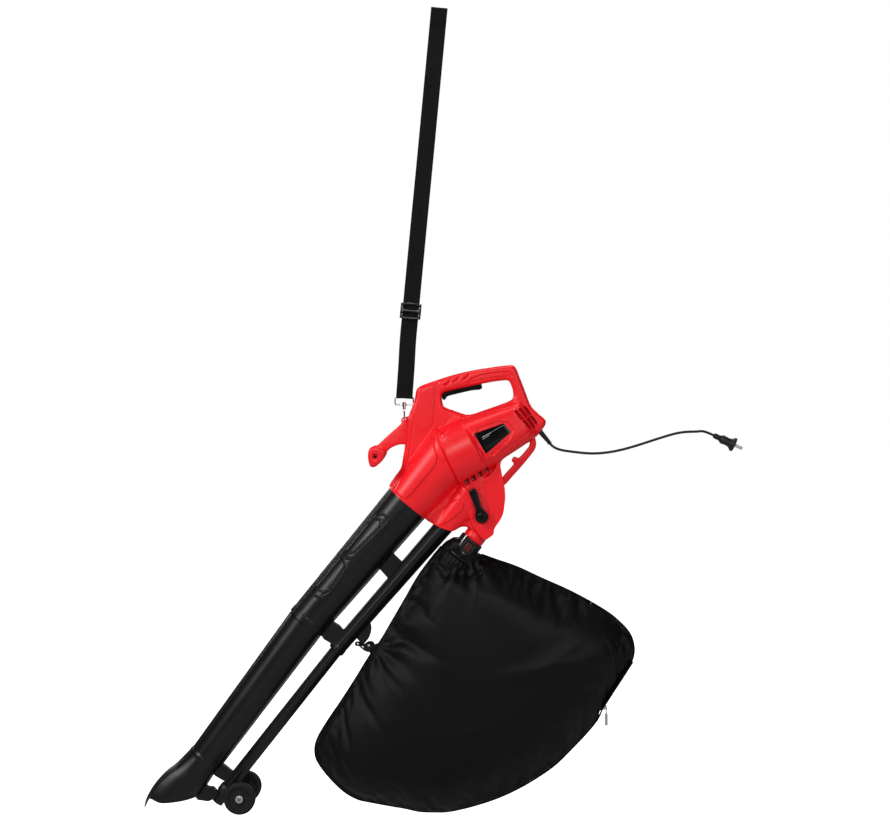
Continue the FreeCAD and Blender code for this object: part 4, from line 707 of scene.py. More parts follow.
eye_rim = [
    (340, 783.5), (341, 803), (334, 800.8), (328, 800.5), (324.5, 797), (323.8, 792), (326.5, 788),
    (331, 784),
]
plate("strap_eye", eye_rim, -3.2, 3.2, 1.0, *RED_PART, [eye_hole])
neck_x, neck_z = unit(NECK_TILT)
neck_axis = (neck_x, 0, neck_z)
turned(
    "bag_outlet", (NECK[0] - 16 * neck_x, 0, NECK[1] - 16 * neck_z), neck_axis,
    [(0, 18.2), (0, 20.2), (1, 20.5), (20, 20.5), (22, 22.0), (42, 22.6), (44, 21.6), (44, 17.2)], *RED_PART,
)

# ---------------------------------------------------------------- front handle, trigger, lever
arm = [
    (338, 742), (338, 793), (330, 797), (325.3, 788.4), (318, 781), (300, 765.5), (274.9, 742.1),
    (266, 735), (270, 726), (286, 720), (292, 726), (297.5, 732), (304, 738), (318, 744), (329, 745),
]
plate("handle_arm", arm, -13, 13, 4.0, *RED_PART)
end_shape = [
    (268, 698.6), (262.5, 701.5), (259.4, 711), (258.2, 723), (259.6, 734.5), (264.5, 740.5), (275, 742.5),
    (287, 740), (294.5, 732.5), (292.5, 722), (284.5, 710), (276, 701.5),
]


def handle_grip():
    """The cross bar: three sided, rounded, waisted along its length, with a screw recess in each end that is
    coloured darker red as painted shade.
    """
    base = np.array(softened(end_shape, 2))
    centre = base.mean(0)
    base = base - centre
    rows = []
    stations = [  # along the bar, and size; the screw recess is round and is the part below a size of 0.34
        (-57, 0.15), (-57.3, 0.16), (-58, 0.30), (-60, 0.31), (-60.5, 0.36), (-60.8, 0.60), (-60.4, 0.86),
        (-59, 0.94), (-56, 0.99), (-52, 1.0), (-46, 0.97), (-38, 0.90), (-24, 0.86), (0, 0.86),
    ]
    stations = stations + [(-y, f) for y, f in reversed(stations[:-1])]
    angles = np.arctan2(base[:, 1], base[:, 0])
    for y, f in stations:
        if f < 0.34:
            local = np.stack([np.cos(angles), np.sin(angles)], 1) * f * 18.5
        else:
            local = base * f
        rows.append(np.stack([centre[0] + local[:, 0], np.full(len(base), y), centre[1] + local[:, 1]], 1))
    count = len(base)
    faces = capped_faces(len(rows), count)
    # the screw recesses and the end faces get the darker red as painted shade
    dark = []
    for f in faces:
        row = min(f) // count
        dark.append(int(row <= 2 or row >= len(rows) - 4 or len(f) > 4))
    return make(
        "handle_grip", np.concatenate(rows), faces, *RED_PART, 40.0, second=PAINTED_SHADE_RED, second_faces=dark,
    )


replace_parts(handle_grip(), "front_handle")

trigger = [
    (407.0, 841), (410.0, 835.5), (414.5, 836), (417, 841), (421, 844), (444, 849.5), (470, 855.5),
    (486, 856.5), (490.5, 859.5), (489, 869), (484, 871.5), (450, 866), (425, 863.5), (414, 861),
    (409, 853),
]
obj = plate("trigger_lever", trigger, -6.8, 6.8, 1.8, SATIN, "trigger_body", "black_plastic")
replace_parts(obj, "trigger")


def lever_outline():
    """A bone shaped lever: a round knob below, a narrow waist and a smaller round end above."""
    half = [
        (-13.6, 0.5), (-12.6, 5.2), (-9.0, 10.2), (-4.0, 13.0), (1.0, 13.6), (6.0, 12.4), (11.0, 9.6),
        (16.0, 7.6), (24.0, 6.7),
    ]
    half += [(36.0, 7.2), (46.0, 8.3), (52.0, 8.4), (56.5, 7.0), (59.4, 4.2), (60.4, 0.6)]
    ring = half + [(s, -n) for s, n in reversed(half)]
    return [beside(VALVE, -19.4, s, n) for s, n in ring]


lever = lever_outline()
obj = plate("lever_body", lever, -44.4, -37.6, 2.6, *LEVER_PART, soften=False)
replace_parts(obj, "mode_lever")
spine = [(484.6, 609), (480, 622), (475.5, 634.5), (471.5, 645.5)]
swept("lever_spine", spline(spine, 20), flat_section(2.6, 1.9, 1.2), *LEVER_PART, side=-45.0)
turned(
    "lever_hub", (VALVE[0], -47.6, VALVE[1]), (0, 1, 0),
    [(0, 5.6), (0, 6.6), (0.9, 8.6), (2.6, 9.6), (3.6, 9.9), (10, 9.9), (10, 5.6)], *LEVER_PART,
)


# ---------------------------------------------------------------- suction tubes
def field_tube(name, start, tilt, length, radius, wall, relief, rows, count):
    """A closed tube wall. Relief is a height over (distance up it, degrees from its upper left edge)."""
    s = np.linspace(0, length, rows)
    turn = full_turn(count)
    ss, aa = np.meshgrid(s, turn, indexing="ij")
    r = radius(ss, aa)
    outer = r + relief(ss, signed_degrees(aa))
    verts = []
    for value in (outer, r - wall):
        x, z = beside(start, tilt, ss, -value * np.cos(aa))
        verts.append(np.stack([x, -value * np.sin(aa), z], 2).reshape(-1, 3))
    return make(name, np.concatenate(verts), wall_faces(rows, count), *BLACK_PART, 42.0)


def band(value, low, high, soft):
    return step(value, low - soft / 2, low + soft / 2) * (1 - step(value, high - soft / 2, high + soft / 2))


def upper_relief(s, a):
    h = 1.3 * bell(a, 2.4) + 1.1 * bell(np.abs(a) - 13, 2.2) + 0.9 * bell(np.abs(a) - 21, 2.2)
    h = h + 1.3 * bell(np.abs(a) - 180, 3.2)
    h = h + 1.2 * band(s, -2, 14, 3)
    w = a * 0.76
    for side in (1, -1):
        for outer, inner in (
            (
                [(240, 27), (262, 34), (276, 46), (278, 61), (266, 62.5), (170, 54), (158, 45)],
                [(256, 36), (264, 47), (254, 56), (178, 48), (168, 42)],
            ),
            (
                [(156, 28), (162, 40), (165, 54), (150, 58), (84, 65), (66, 58), (59, 44)],
                [(152, 42), (146, 52), (88, 59), (76, 52), (73, 44)],
            ),
        ):
            lip = distance(s, side * w, outer)[0]
            h = h + 2.0 * (1 - step(lip, 0.3, 2.8))
            fold = distance(s, side * w, inner)[0]
            h = h + 1.1 * (1 - step(fold, 0.2, 2.3))
            floor = depth_in(s, side * w, inner + [(inner[-1][0], 26), (inner[0][0], 26)])
            h = h - 1.4 * step(floor, 0.6, 3.6)
    return h


TUBE_JOINT = (129.5, 378.6)
upper = field_tube(
    "upper_suction_skin", TUBE_JOINT, DUCT[2], 356.0, lambda s, a: 39.6 + 7.0 * np.clip(s, 0, 322) / 322, 2.4,
    upper_relief, 520, 440,
)
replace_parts(upper, "upper_suction_tube")


def lower_tube():
    """The lower tube: a straight length that turns down and flares into a scoop with a pointed lip."""
    tilt, straight = 36.56, 342.5
    count = 220
    turn = full_turn(count)
    a = signed_degrees(turn)
    rows = []
    lengths = np.linspace(-26, straight * 0.985, 190)
    for s in lengths:
        r = 39.2 - 4.9 * s / straight if s >= 0 else 36.2  # the spigot inside the upper tube is narrower
        rows.append((beside(TUBE_JOINT, tilt, -s, 0), tilt, r, r))
    end_x, end_z = rows[-1][0]
    table = [  # X, Z, tilt, and half sizes in the plane and across it
        (end_x, end_z, tilt, 34.4, 34.4), (-84.5, 94.0, 31.0, 35.4, 34.6), (-99.0, 79.0, 22.0, 38.5, 36.2),
        (-114.5, 65.0, 12.0, 46.5, 38.6), (-130.0, 47.0, 3.0, 53.0, 41.0), (-141.5, 30.0, -3.5, 55.0, 42.8),
        (-145.5, 18.0, -5.3, 55.0, 43.2),
    ]
    smooth = spline(table, 70)
    for row in smooth[1:]:
        rows.append((row[:2], row[2], row[3], row[4]))
    total = len(rows)
    outer, inner = [], []
    straight_rows = len(lengths)
    for number, (c, lean, half, wide) in enumerate(rows):
        progress = max(0.0, (number - straight_rows) / (total - straight_rows))
        lift = 0 * a
        if lengths[min(number, straight_rows - 1)] >= 0 or progress > 0:
            ridge = 1.2 * bell(a, 3.2) + 1.2 * bell(np.abs(a) - 180, 3.2)
            ridge = ridge + 0.8 * bell(np.abs(a) - 14, 2.0)
            collar = 1.0 * bell(number - straight_rows - 2, 1.4)
            crease = -1.4 * progress * bell(np.abs(a) - 36, 5.0) + 1.2 * progress * bell(np.abs(a) - 47, 5.0)
            lift = ridge * (1 - 0.5 * progress) + collar + crease
        for store, inset in ((outer, 0.0), (inner, 2.2)):
            grow = lift if inset == 0 else 0
            x, z = beside(c, lean, 0, -(half - inset + grow) * np.cos(turn))
            y = -(wide - inset + grow) * np.sin(turn)
            share = progress**2
            pointed = bell(a, 19.0)
            notch = bell(np.abs(a) - 44, 19.0)
            back = bell(np.abs(a) - 180, 38.0)
            z = z + share * (-13.0 * pointed + 10.0 * notch + 4.0 * back + 1.5)
            x = x + share * (-2.0 * pointed + 5.0 * back)
            store.append(np.stack([x, y, z], 1))
    return make(
        "lower_suction_skin", np.concatenate(outer + inner), wall_faces(total, count), *BLACK_PART, 42.0,
    )


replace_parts(lower_tube(), "lower_suction_tube")


# ---------------------------------------------------------------- blow tubes, webs and wheels
def facet(radius):
    def shape(s, a):
        r = radius(s)
        for centre in (48, -48, 132, -132):
            off = (np.degrees(a) - centre + 180) % 360 - 180
            r = np.where(
                np.abs(off) < 30,
                np.minimum(r, radius(s) * 0.90 / np.cos(np.radians(np.clip(off, -30, 30)))), r,
            )
        return r

    return shape


def blow_relief(s, a):
    h = 0.7 * bell(a, 6) + 0.7 * bell(np.abs(a) - 180, 6)
    return h + 1.1 * band(s, 0, 12, 2.5)


upper = field_tube(
    "upper_blow_skin", (189.8, 322.0), BLOW[2], 362.0,
    facet(lambda s: 15.6 + 3.3 * np.clip(s, 0, 334) / 334), 2.0, blow_relief, 120, 144,
)
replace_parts(upper, "upper_blow_tube")
LOWER_BLOW_TILT = 38.34
AXLE_HEIGHT = 31.8
foot = beside((190.6, 321.3), LOWER_BLOW_TILT, -394.3, 0)
lower = field_tube(
    "lower_blow_skin", foot, LOWER_BLOW_TILT, 412.0, facet(lambda s: 12.7 + 0 * s), 1.8,
    lambda s, a: 0.8 * bell(a, 7) + 0.3 * bell(np.abs(a) - 180, 7), 120, 144,
)
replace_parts(lower, "lower_blow_tube")

webs = [
    ("web_upper", [(293, 533), (268, 503), (298, 470), (330, 501), (318, 512), (306, 524)], 7.0),
    ("web_middle", [(180, 385), (158, 358), (166, 346), (186, 334), (209, 361), (198, 374)], 8.0),
    ("web_lower", [(-52, 99), (-70, 78), (-56, 66), (-33, 52.5), (-17, 72), (-34, 86)], 7.0),
    ("web_foot", [(-84, 52), (-99, 26), (-92, 17), (-70, 14), (-44, 26), (-60, 43), (-70, 44)], 7.0),
]
for label, outline, half in webs:
    plate(label, outline, -half, half, 1.0, *BLACK_PART, soften=False)
    inner_x = sum(p[0] for p in outline) / len(outline)
    inner_z = sum(p[1] for p in outline) / len(outline)
    rib = [(inner_x + 0.52 * (px - inner_x), inner_z + 0.52 * (pz - inner_z)) for px, pz in outline]
    plate(label + "_pad", rib, -half - 1.2, half + 1.2, 0.6, *BLACK_PART, soften=False)
lug = [
    (228, 352), (246, 334), (252, 340), (259, 349), (263.5, 362), (263, 377), (257, 385), (248, 381),
    (240, 366),
]
plate("blow_lug", lug, -4, 4, 1.4, *BLACK_PART)

blow_x, blow_z = unit(LOWER_BLOW_TILT)
clamp_at = (foot[0] + 23 * blow_x, 0, foot[1] + 23 * blow_z)
turned(
    "bracket_clamp", clamp_at, (blow_x, 0, blow_z),
    [(0, 12.2), (0, 15.2), (1, 16), (16, 16), (17, 15.2), (17, 12.2)], *DARK_PART,
)
saddle = [(-29, 24), (-14, 20), (2, 22), (8, 34), (3, 41), (-18, 49), (-26, 42)]
plate("bracket_web", saddle, -5, 5, 1.4, *DARK_PART)
barrel = turned(
    "bracket_barrel", (0, -42, AXLE_HEIGHT), (0, 1, 0),
    [
        (0, 4.4), (0, 6.6), (1, 7.5), (22, 7.5), (24, 8.6), (60, 8.6), (62, 7.5), (83, 7.5), (84, 6.6),
        (84, 4.4),
    ],
    *DARK_PART,
)
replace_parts(barrel, "wheel_bracket")


def wheel(label, side):
    """A dished wheel with a ribbed tread, spokes moulded as low ridges and a raised hub."""
    centre = side * 53.0
    half = [
        (4.1, 10.0), (9.2, 10.0), (10.2, 9.4), (10.8, 7.0), (12.2, 6.4), (20.5, 6.4), (22.0, 7.2),
        (23.0, 9.2), (24.4, 9.9), (27.0, 10.0), (29.6, 9.5), (31.0, 8.4), (31.7, 7.0), (31.8, 5.6),
        (31.1, 5.2), (31.1, 4.4), (31.8, 4.0), (31.8, 1.8), (31.1, 1.4), (31.1, 0.6), (31.8, 0.2),
    ]
    profile = [(centre + y, r) for r, y in half] + [(centre - y, r) for r, y in reversed(half)]
    count = 180
    turn = full_turn(count)
    rows = []
    for y, r in profile:
        spoke = 0.9 * np.clip(np.cos(6 * turn) * 3 - 1.4, 0, 1) if 11.5 < r < 21.5 else 0 * turn
        face = 1 if y > centre else -1
        rows.append(np.stack([r * np.cos(turn), y + face * spoke, AXLE_HEIGHT + r * np.sin(turn)], 1))
    body = label + "_body"
    obj = make(
        label + "_moulding", np.concatenate(rows), grid_faces(len(rows), count, True), TYRE, body,
        "wheel_black", 35.0,
    )
    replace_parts(obj, label)


wheel("wheel_left", -1)
wheel("wheel_right", 1)
for label, side in (("left", -1), ("right", 1)):
    cap = turned(
        "push_nut_" + label, (0, side * 63.4, AXLE_HEIGHT), (0, side, 0),
        [(0, 4.05), (0, 7.2), (0.5, 7.3), (0.9, 6.6), (1.0, 5.2), (2.4, 4.7), (2.6, 4.4), (2.5, 4.05)],
        STEEL, "machine", "chrome", 48,
    )
    if side > 0:
        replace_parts(cap, "axle_caps")
    end = [(0, 0.0), (0, 4.0), (2.8, 4.0), (3.2, 3.5), (3.3, 0.0)]
    turned(
        "axle_end_" + label, (0, side * 64.0, AXLE_HEIGHT), (0, side, 0), end, CORE, "machine", "steel", 40,
    )


# ---------------------------------------------------------------- collecting bag
BAG = [
    (437, 556), (428, 553), (414, 545), (392, 522), (372, 496), (353, 467), (331, 429), (309, 390),
    (292, 362), (278, 337), (256, 308), (234, 272), (212, 235), (190, 203), (169, 172), (154, 148),
    (147, 131), (146, 114), (150, 99), (157, 85), (178, 57), (203, 35), (227, 18), (245, 13), (266, 10),
    (297, 3), (329, -2), (352, -7), (377, -11), (401, -11), (425, -9), (467, 0), (508, 13), (545, 29),
    (580, 47), (610, 65), (638, 85), (670, 115), (701, 148), (717, 166), (730, 186), (740, 208),
    (768, 251.5), (786.5, 280), (799.5, 302), (804, 317), (803, 332), (797, 350), (788, 366), (767, 389),
    (740, 407), (684, 438), (628, 465), (587, 484), (546, 501), (517, 510), (490, 519), (476, 526),
    (468, 540), (455, 552),
]
BAG_CENTRE = (455.0, 240.0)


def bag_mesh():
    """The sewn bag, puffed out from its outline and pinched at the neck; bag_cloth settles it with the cloth
    solver.
    """
    rim = np.array(grown(softened(BAG, 1, 0.25), 1.0))
    centre = np.array(BAG_CENTRE)
    levels = np.concatenate([np.linspace(1.0, 0.9, 8), np.linspace(0.88, 0.0, 26)[1:]])
    rings = [centre + (rim - centre) * f for f in levels]
    count = len(rim)
    verts, faces = [], []
    for side in (-1, 1):
        for p in rings:
            room = distance(p[:, 0], p[:, 1], [tuple(q) for q in rim], True)[0]
            puff = 61.0 * (1 - np.exp(-room / 52.0)) * (0.35 + 0.65 * np.clip(room / 70.0, 0, 1) ** 0.4)
            neck = np.hypot(p[:, 0] - 452, p[:, 1] - 536)
            puff = np.maximum(puff, (26.0 * np.exp(-((neck / 42) ** 4))) * np.clip(room / 10, 0, 1) ** 0.5)
            verts.append(np.stack([p[:, 0], side * puff, p[:, 1]], 1))
    rows = len(rings)
    for half in range(2):
        base = half * rows * count
        for face in grid_faces(rows, count):
            quad = tuple(base + i for i in face)
            faces.append(quad if half else quad[::-1])
    return np.concatenate(verts), faces


def bag_cloth():
    verts, faces = bag_mesh()
    obj = make("bag_cloth_body", verts, faces, *BAG_PART, 180.0)
    bpy.context.view_layer.objects.active = obj
    remesh = obj.modifiers.new("even", "REMESH")
    remesh.mode = "VOXEL"
    remesh.voxel_size = 0.0065
    remesh.use_smooth_shade = True
    apply_modifiers(obj)
    co = coordinates(obj)
    group = obj.vertex_groups.new(name="held")
    x, y, z = co[:, 0] * 1000, co[:, 1] * 1000, co[:, 2] * 1000
    held = np.exp(-((np.hypot(x - 455, z - 536) / 34) ** 4))  # by the collar, by the hook, by the seam
    hook = bell(np.hypot(x - 284, z - 332), 22)
    edge = distance(x, z, [tuple(p) for p in BAG], True)[0]
    seam = 0.8 * bell(edge, 7) * (np.abs(y) < 14)
    weight = np.clip(np.maximum(np.maximum(held, hook), seam), 0, 1)
    for index in np.nonzero(weight > 0.02)[0]:
        group.add([int(index)], float(weight[index]), "REPLACE")
    cloth = obj.modifiers.new("cloth", "CLOTH")
    settings = cloth.settings
    settings.quality = 5
    settings.mass = 0.2
    settings.tension_stiffness = 14
    settings.compression_stiffness = 10
    settings.bending_stiffness = 0.35
    settings.use_pressure = True
    settings.uniform_pressure_force = 3.0
    settings.shrink_min = -0.045
    settings.vertex_group_mass = "held"
    settings.effector_weights.gravity = 0.0
    cloth.collision_settings.use_self_collision = False
    last_frame = 20
    cloth.point_cache.frame_start = 1
    cloth.point_cache.frame_end = last_frame
    scene = bpy.context.scene
    for number in range(1, last_frame + 1):
        scene.frame_set(number)
        bpy.context.evaluated_depsgraph_get().update()
    apply_modifiers(obj)
    scene.frame_set(1)
    moved = coordinates(obj)
    change = moved - co
    size = np.linalg.norm(change, axis=1)
    limit = 0.012  # metres that the cloth solver may move any point
    change *= (limit * np.tanh(size / limit) / np.maximum(size, 1e-9))[:, None]
    co = co + change
    co = fold_cloth(obj, co)
    obj.data.vertices.foreach_set("co", co.astype(np.float32).ravel())
    obj.data.update()
    obj.vertex_groups.clear()
    smooth = obj.modifiers.new("fine", "SUBSURF")
    smooth.levels = 1
    smooth.render_levels = 1
    apply_modifiers(obj)
    obj.data.shade_smooth()
    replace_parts(obj, "bag")
    return obj


def coordinates(obj):
    co = np.zeros(len(obj.data.vertices) * 3)
    obj.data.vertices.foreach_get("co", co)
    return co.reshape(-1, 3)


def apply_modifiers(obj):
    graph = bpy.context.evaluated_depsgraph_get()
    mesh = bpy.data.meshes.new_from_object(obj.evaluated_get(graph))
    old = obj.data
    obj.modifiers.clear()
    obj.data = mesh
    bpy.data.meshes.remove(old)
    mesh.name = obj.name


def fold_cloth(obj, co):
    """Gathers below the neck, pulls from the hook and slack folds in the panels, along the normals."""
    normals = np.zeros(len(co) * 3)
    obj.data.vertices.foreach_get("normal", normals)
    normals = normals.reshape(-1, 3)
    x, y, z = co[:, 0] * 1000, co[:, 1] * 1000, co[:, 2] * 1000
    side = np.where(y < 0, 1.0, 0.7)
    lift = np.zeros(len(co))
    reach = np.hypot(x - 455, z - 545)
    spread = np.arctan2(x - 455, 545 - z)
    gather = bell(reach - 50, 42)
    lift += 2.0 * gather * np.cos(17 * spread + 1.3 * np.sin(3 * spread) + side)
    long_fold = bell(reach - 150, 110)
    lift += 1.9 * long_fold * np.cos(7.3 * spread + 0.8 * np.sin(2.1 * spread + reach / 60) + 2 * side)
    hook_reach = np.hypot(x - 270, z - 332)
    hook_spread = np.arctan2(z - 332, x - 270)
    lift += 2.2 * bell(hook_reach - 45, 40) * np.cos(8 * hook_spread + 1.1 * side)
    rng = np.random.default_rng(11)
    for _ in range(26):
        cx, cz = rng.uniform(190, 760), rng.uniform(20, 440)
        lean = rng.uniform(-0.6, 0.9)
        long, wide, high = rng.uniform(35, 120), rng.uniform(7, 16), rng.uniform(-2.0, 2.0)
        face = rng.choice([-1, 1])
        u = (x - cx) * math.cos(lean) + (z - cz) * math.sin(lean)
        v = -(x - cx) * math.sin(lean) + (z - cz) * math.cos(lean)
        v = v + 0.0016 * u * u * rng.uniform(-1, 1)
        lift += high * np.exp(-((u / long) ** 2) - (v / wide) ** 2) * (np.sign(y) == face)
    edge = distance(x, z, [tuple(p) for p in BAG], True)[0]
    lift *= 1.7 * np.clip((edge - 3) / 14, 0, 1) * (1 - np.exp(-((reach / 24) ** 4)))
    pucker_run = (x * 0.7 + z) * 0.42
    lift += 0.7 * bell(edge - 12, 7) * np.cos(pucker_run)
    return co + normals * (lift * MM)[:, None]


bag = bag_cloth()
bag_tree = BVHTree.FromObject(bag, bpy.context.evaluated_depsgraph_get())


def on_bag(x, y, z):
    hit = bag_tree.find_nearest(Vector((x * MM, y * MM, z * MM)))
    return np.array(hit[0]) / MM, np.array(hit[1])


rim_line = softened(BAG, 2, 0.25)
closed = rim_line[8:-14]
piping = [on_bag(px, 0.0, pz)[0] for px, pz in closed]
piping = spline(np.array([piping[i] for i in range(0, len(piping), 5)]), 300)
swept("bag_piping", piping, round_section(1.7, 14), *BAG_PART)
for side in (-1, 1):
    line = []
    for px, pz in closed[::3]:
        cx, cz = [middle + (value - middle) * 0.978 for middle, value in zip(BAG_CENTRE, (px, pz))]
        point, normal = on_bag(cx, side * 14.0, cz)
        line.append(point + normal * 0.1)
    label = "bag_stitch_" + ("near" if side < 0 else "far")
    swept(label, spline(np.array(line), 420), round_section(0.5, 8), WEB, "bag_unit", "bag_fabric")
seam = []
for t in np.linspace(0, 1, 14):
    px, pz = 483 - 8 * t - 10 * t * t, 516 - 150 * t
    point, normal = on_bag(px, -70.0, pz)
    seam.append(point + normal * (0.35 - 1.4 * t))
swept("bag_panel_seam", spline(np.array(seam), 90), round_section(1.1, 10), *BAG_PART)


def cuff():
    """The gathered cloth cuff with a cord casing that holds the bag on the collar."""
    count = 160
    turn = full_turn(count)
    outer = [(-64, 33), (-52, 35.5), (-44, 36.4), (-38, 35.6), (-35, 33.6), (-33.2, 31.4), (-32.0, 28.2)]
    inner = [(-32.6, 27.0), (-36, 29.5), (-50, 32.0), (-64, 31.0)]
    rows = []
    for s, r in outer + inner:
        ruffle = 0 * turn
        if r > 31.2:
            ruffle = 0.9 * np.cos(26 * turn + 0.8 * np.sin(5 * turn)) * np.clip((s + 66) / 30, 0.2, 1)
        x, z = beside(NECK, NECK_TILT, s, -(r + ruffle) * np.cos(turn))
        rows.append(np.stack([x, (r + ruffle) * np.sin(turn), z], 1))
    return make("bag_cuff", np.concatenate(rows), grid_faces(len(rows), count, True), *BAG_PART, 60.0)


cuff()
collar_foot = beside(NECK, NECK_TILT, -34, 0)
collar_profile = [
    (-6, 20.8), (-6, 30.2), (-5, 31), (3.4, 31), (4.4, 30), (5, 26.5), (7, 25.2), (15, 25.2), (15.6, 26.2),
    (17.4, 26.2), (18, 25.2), (24, 25.2), (24.6, 26.2), (26.4, 26.2), (27, 25.2), (44.4, 25.2), (46, 24.6),
    (46, 23.4), (35, 23.4), (34, 20.8),
]
collar = turned(
    "collar_ring", (collar_foot[0], 0, collar_foot[1]), neck_axis,
    collar_profile, *BAG_FITTING,
)
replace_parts(collar, "bag_collar")


def latch_block(name, low, high, base, top, front, back, surface, body, slot, bevel):
    """A rounded block beside the collar, placed along and across the collar's axis."""
    corners = [
        beside(collar_foot, NECK_TILT, s, -n) for n,
        s in ((low, base), (high, base), (high, top), (low, top))
    ]
    return plate(name, corners, front, back, bevel, surface, body, slot, soften=False)


for label, low, high, base, top in (
    ("low", -13, 13, 15.5, 20.5), ("high", -13, 13, 39.5, 44), ("left", 7.6, 13, 16, 43.5),
    ("right", -13, -7.6, 16, 43.5),
):
    latch_block("latch_frame_" + label, low, high, base, top, -37, -17, *BAG_FITTING, 1.2)
button = latch_block(
    "latch_button_cap", -6.8, 6.8, 21.2, 38.8, -41, -29.2, WINDOW, "latch_button", "black_plastic", 1.3,
)
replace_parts(button, "bag_latch")
for number, s in enumerate((25, 30, 35)):
    latch_block(
        f"latch_button_rib_{number}", -4.8, 4.8, s - 0.9, s + 0.9, -41.8, -40.4, DARK, "latch_button",
        "black_plastic", 0.4,
    )
latch_block("latch_clip", 14.4, 17.6, 22.0, 48.0, -30, -16, NICKEL, "bag_unit", "chrome", 0.8)

hook_shape = [
    (262, 318), (272, 330), (268, 340), (261, 342), (255, 340.5), (250, 336), (247, 335), (241, 339.5),
    (235, 341), (230, 339.5), (228.6, 335), (231, 331.5), (238, 331), (243, 326), (250, 321), (256, 319),
]
obj = plate("bag_hook_moulding", hook_shape, -3.4, 3.4, 1.2, SATIN, "bag_unit", "black_plastic")
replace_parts(obj, "bag_hook")
for number, (px, pz) in enumerate(((236, 336), (246, 329.5), (258, 333))):
    head = [(0, 0.0), (0, 1.4), (0.5, 2.2), (1.2, 2.4), (1.2, 0.0)]
    turned(f"bag_hook_rivet_{number}", (px, -4.2, pz), (0, 1, 0), head, STEEL, "bag_unit", "steel", 24)
tab = [(259, 314), (268, 316), (294, 332), (294, 346), (274, 336), (262, 332)]
plate("bag_hook_tab", tab, -4.6, 4.6, 1.0, *BAG_PART)


# ---------------------------------------------------------------- zip
def beside_zip(along, out):
    return beside((738, 206.5), 33.0, along, out)


tape = [beside_zip(s, 0.4 + 0.25 * math.sin(s / 9)) for s in np.linspace(-3, 111, 70)]
tape_obj = swept("zip_band", tape, flat_section(0.7, 9, 0.5), WEB, "bag_unit", "zip_tape")
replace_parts(tape_obj, "zip_tape")
for number in range(44):
    s = -2 + 2.55 * number
    y = 0.8 if number % 2 else -0.8
    ends = [beside_zip(s - 0.75, 1.9), beside_zip(s + 0.75, 1.9)]
    swept(f"zip_tooth_{number}", ends, flat_section(0.9, 1.7, 0.5, 3), SATIN, "bag_unit", "zip_tape", side=y)


# ---------------------------------------------------------------- shoulder strap
strap_line = spline(
    [
        (330.5, 838.5), (331.6, 856), (335, 905), (338.2, 960), (343.8, 1020), (357, 1160), (379.5, 1395),
        (402.5, 1639),
    ],
    420,
)


def strap_web():
    """Doubled flat webbing: one loop runs down a layer, round the ring and up the other layer."""
    run = travelled(strap_line)
    length = run[-1]
    half = 16.9
    n = len(strap_line)
    profile = []
    for i in range(n):
        opening = 2.2 * math.exp(-((run[i] / 10.0) ** 2)) + 1.6 * math.exp(-(((length - run[i]) / 16.0) ** 2))
        sway = 0.7 * math.sin(run[i] / 61.0) + 0.5 * math.sin(run[i] / 23.0 + 1.0)
        profile.append((strap_line[i], 0.95 + opening, sway * min(1.0, run[i] / 60.0), run[i]))
    tangent = np.gradient(strap_line, axis=0)
    tangent /= np.linalg.norm(tangent, axis=1)[:, None]
    across = np.linspace(-1, 1, 15)
    outer_loop, inner_loop = [], []
    thick = 1.25
    for side in (-1, 1):
        order = range(n) if side < 0 else range(n - 1, -1, -1)
        for i in order:
            p, gap, sway, r = profile[i]
            outer_loop.append((p, sway + side * (gap + thick), tangent[i], r if side < 0 else 2 * length - r))
            inner_loop.append((p, sway + side * gap, tangent[i], r))
    count = len(outer_loop)
    verts, uvs = [], []
    for loop in (outer_loop, inner_loop):
        for p, y, t, r in loop:
            side_x = np.array([t[1], -t[0]])
            for a in across:
                wave = 0.10 * math.cos(a * 9.0)
                edge = 0.35 * (abs(a) ** 12)
                if loop is outer_loop:
                    squeeze = y - np.sign(y) * edge + wave * np.sign(y)
                else:
                    squeeze = y + np.sign(y) * edge * 0.4
                verts.append((p[0] + side_x[0] * a * half, squeeze, p[1] + side_x[1] * a * half))
                uvs.append((r, a * half))
    width = len(across)
    faces = []
    for layer in range(2):
        base = layer * count * width
        for i in range(count):
            k = (i + 1) % count
            for j in range(width - 1):
                quad = (
                    base + i * width + j, base + i * width + j + 1, base + k * width + j + 1,
                    base + k * width + j,
                )
                faces.append(quad if layer == 0 else quad[::-1])
    shift = count * width
    for i in range(count):
        k = (i + 1) % count
        faces.append((i * width, k * width, k * width + shift, i * width + shift))
        near, far = k * width + width - 1, i * width + width - 1
        faces.append((near, far, far + shift, near + shift))
    return make("strap_band", np.array(verts), faces, *STRAP_PART, 60.0, uvs=uvs)


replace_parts(strap_web(), "strap_webbing")


def strap_spot(length_up, across, y):
    """A point on the strap: so far up it, so far across it, and at this Y."""
    run = travelled(strap_line)
    (px, pz), (qx, qz) = [
        (
            np.interp(at, run, strap_line[:, 0]), np.interp(at, run, strap_line[:, 1]),
        ) for at in (length_up, length_up + 1)
    ]
    t = np.array([qx - px, qz - pz])
    t /= np.linalg.norm(t)
    return (px + t[1] * across, y, pz - t[0] * across)


for label, height in (("low", 18.0), ("mid", 24.0), ("top", 770.0), ("top2", 776.0)):
    row = [strap_spot(height + 0.5 * math.sin(a * 1.7), a, -2.75) for a in np.linspace(-14.5, 14.5, 60)]
    swept(f"strap_stitch_{label}", row, round_section(0.45, 8), *STRAP_PART)

strap_tilt = math.degrees(math.atan2(402.5 - 338.2, 1641.0 - 960.0))


def on_buckle(along, out):
    return beside((343.63, 1017.5), strap_tilt, along, out)


def buckle_outline(half_width, low, high):
    corners = ((-half_width, low), (half_width, low), (half_width, high), (-half_width, high))
    return [on_buckle(s, n) for n, s in corners]


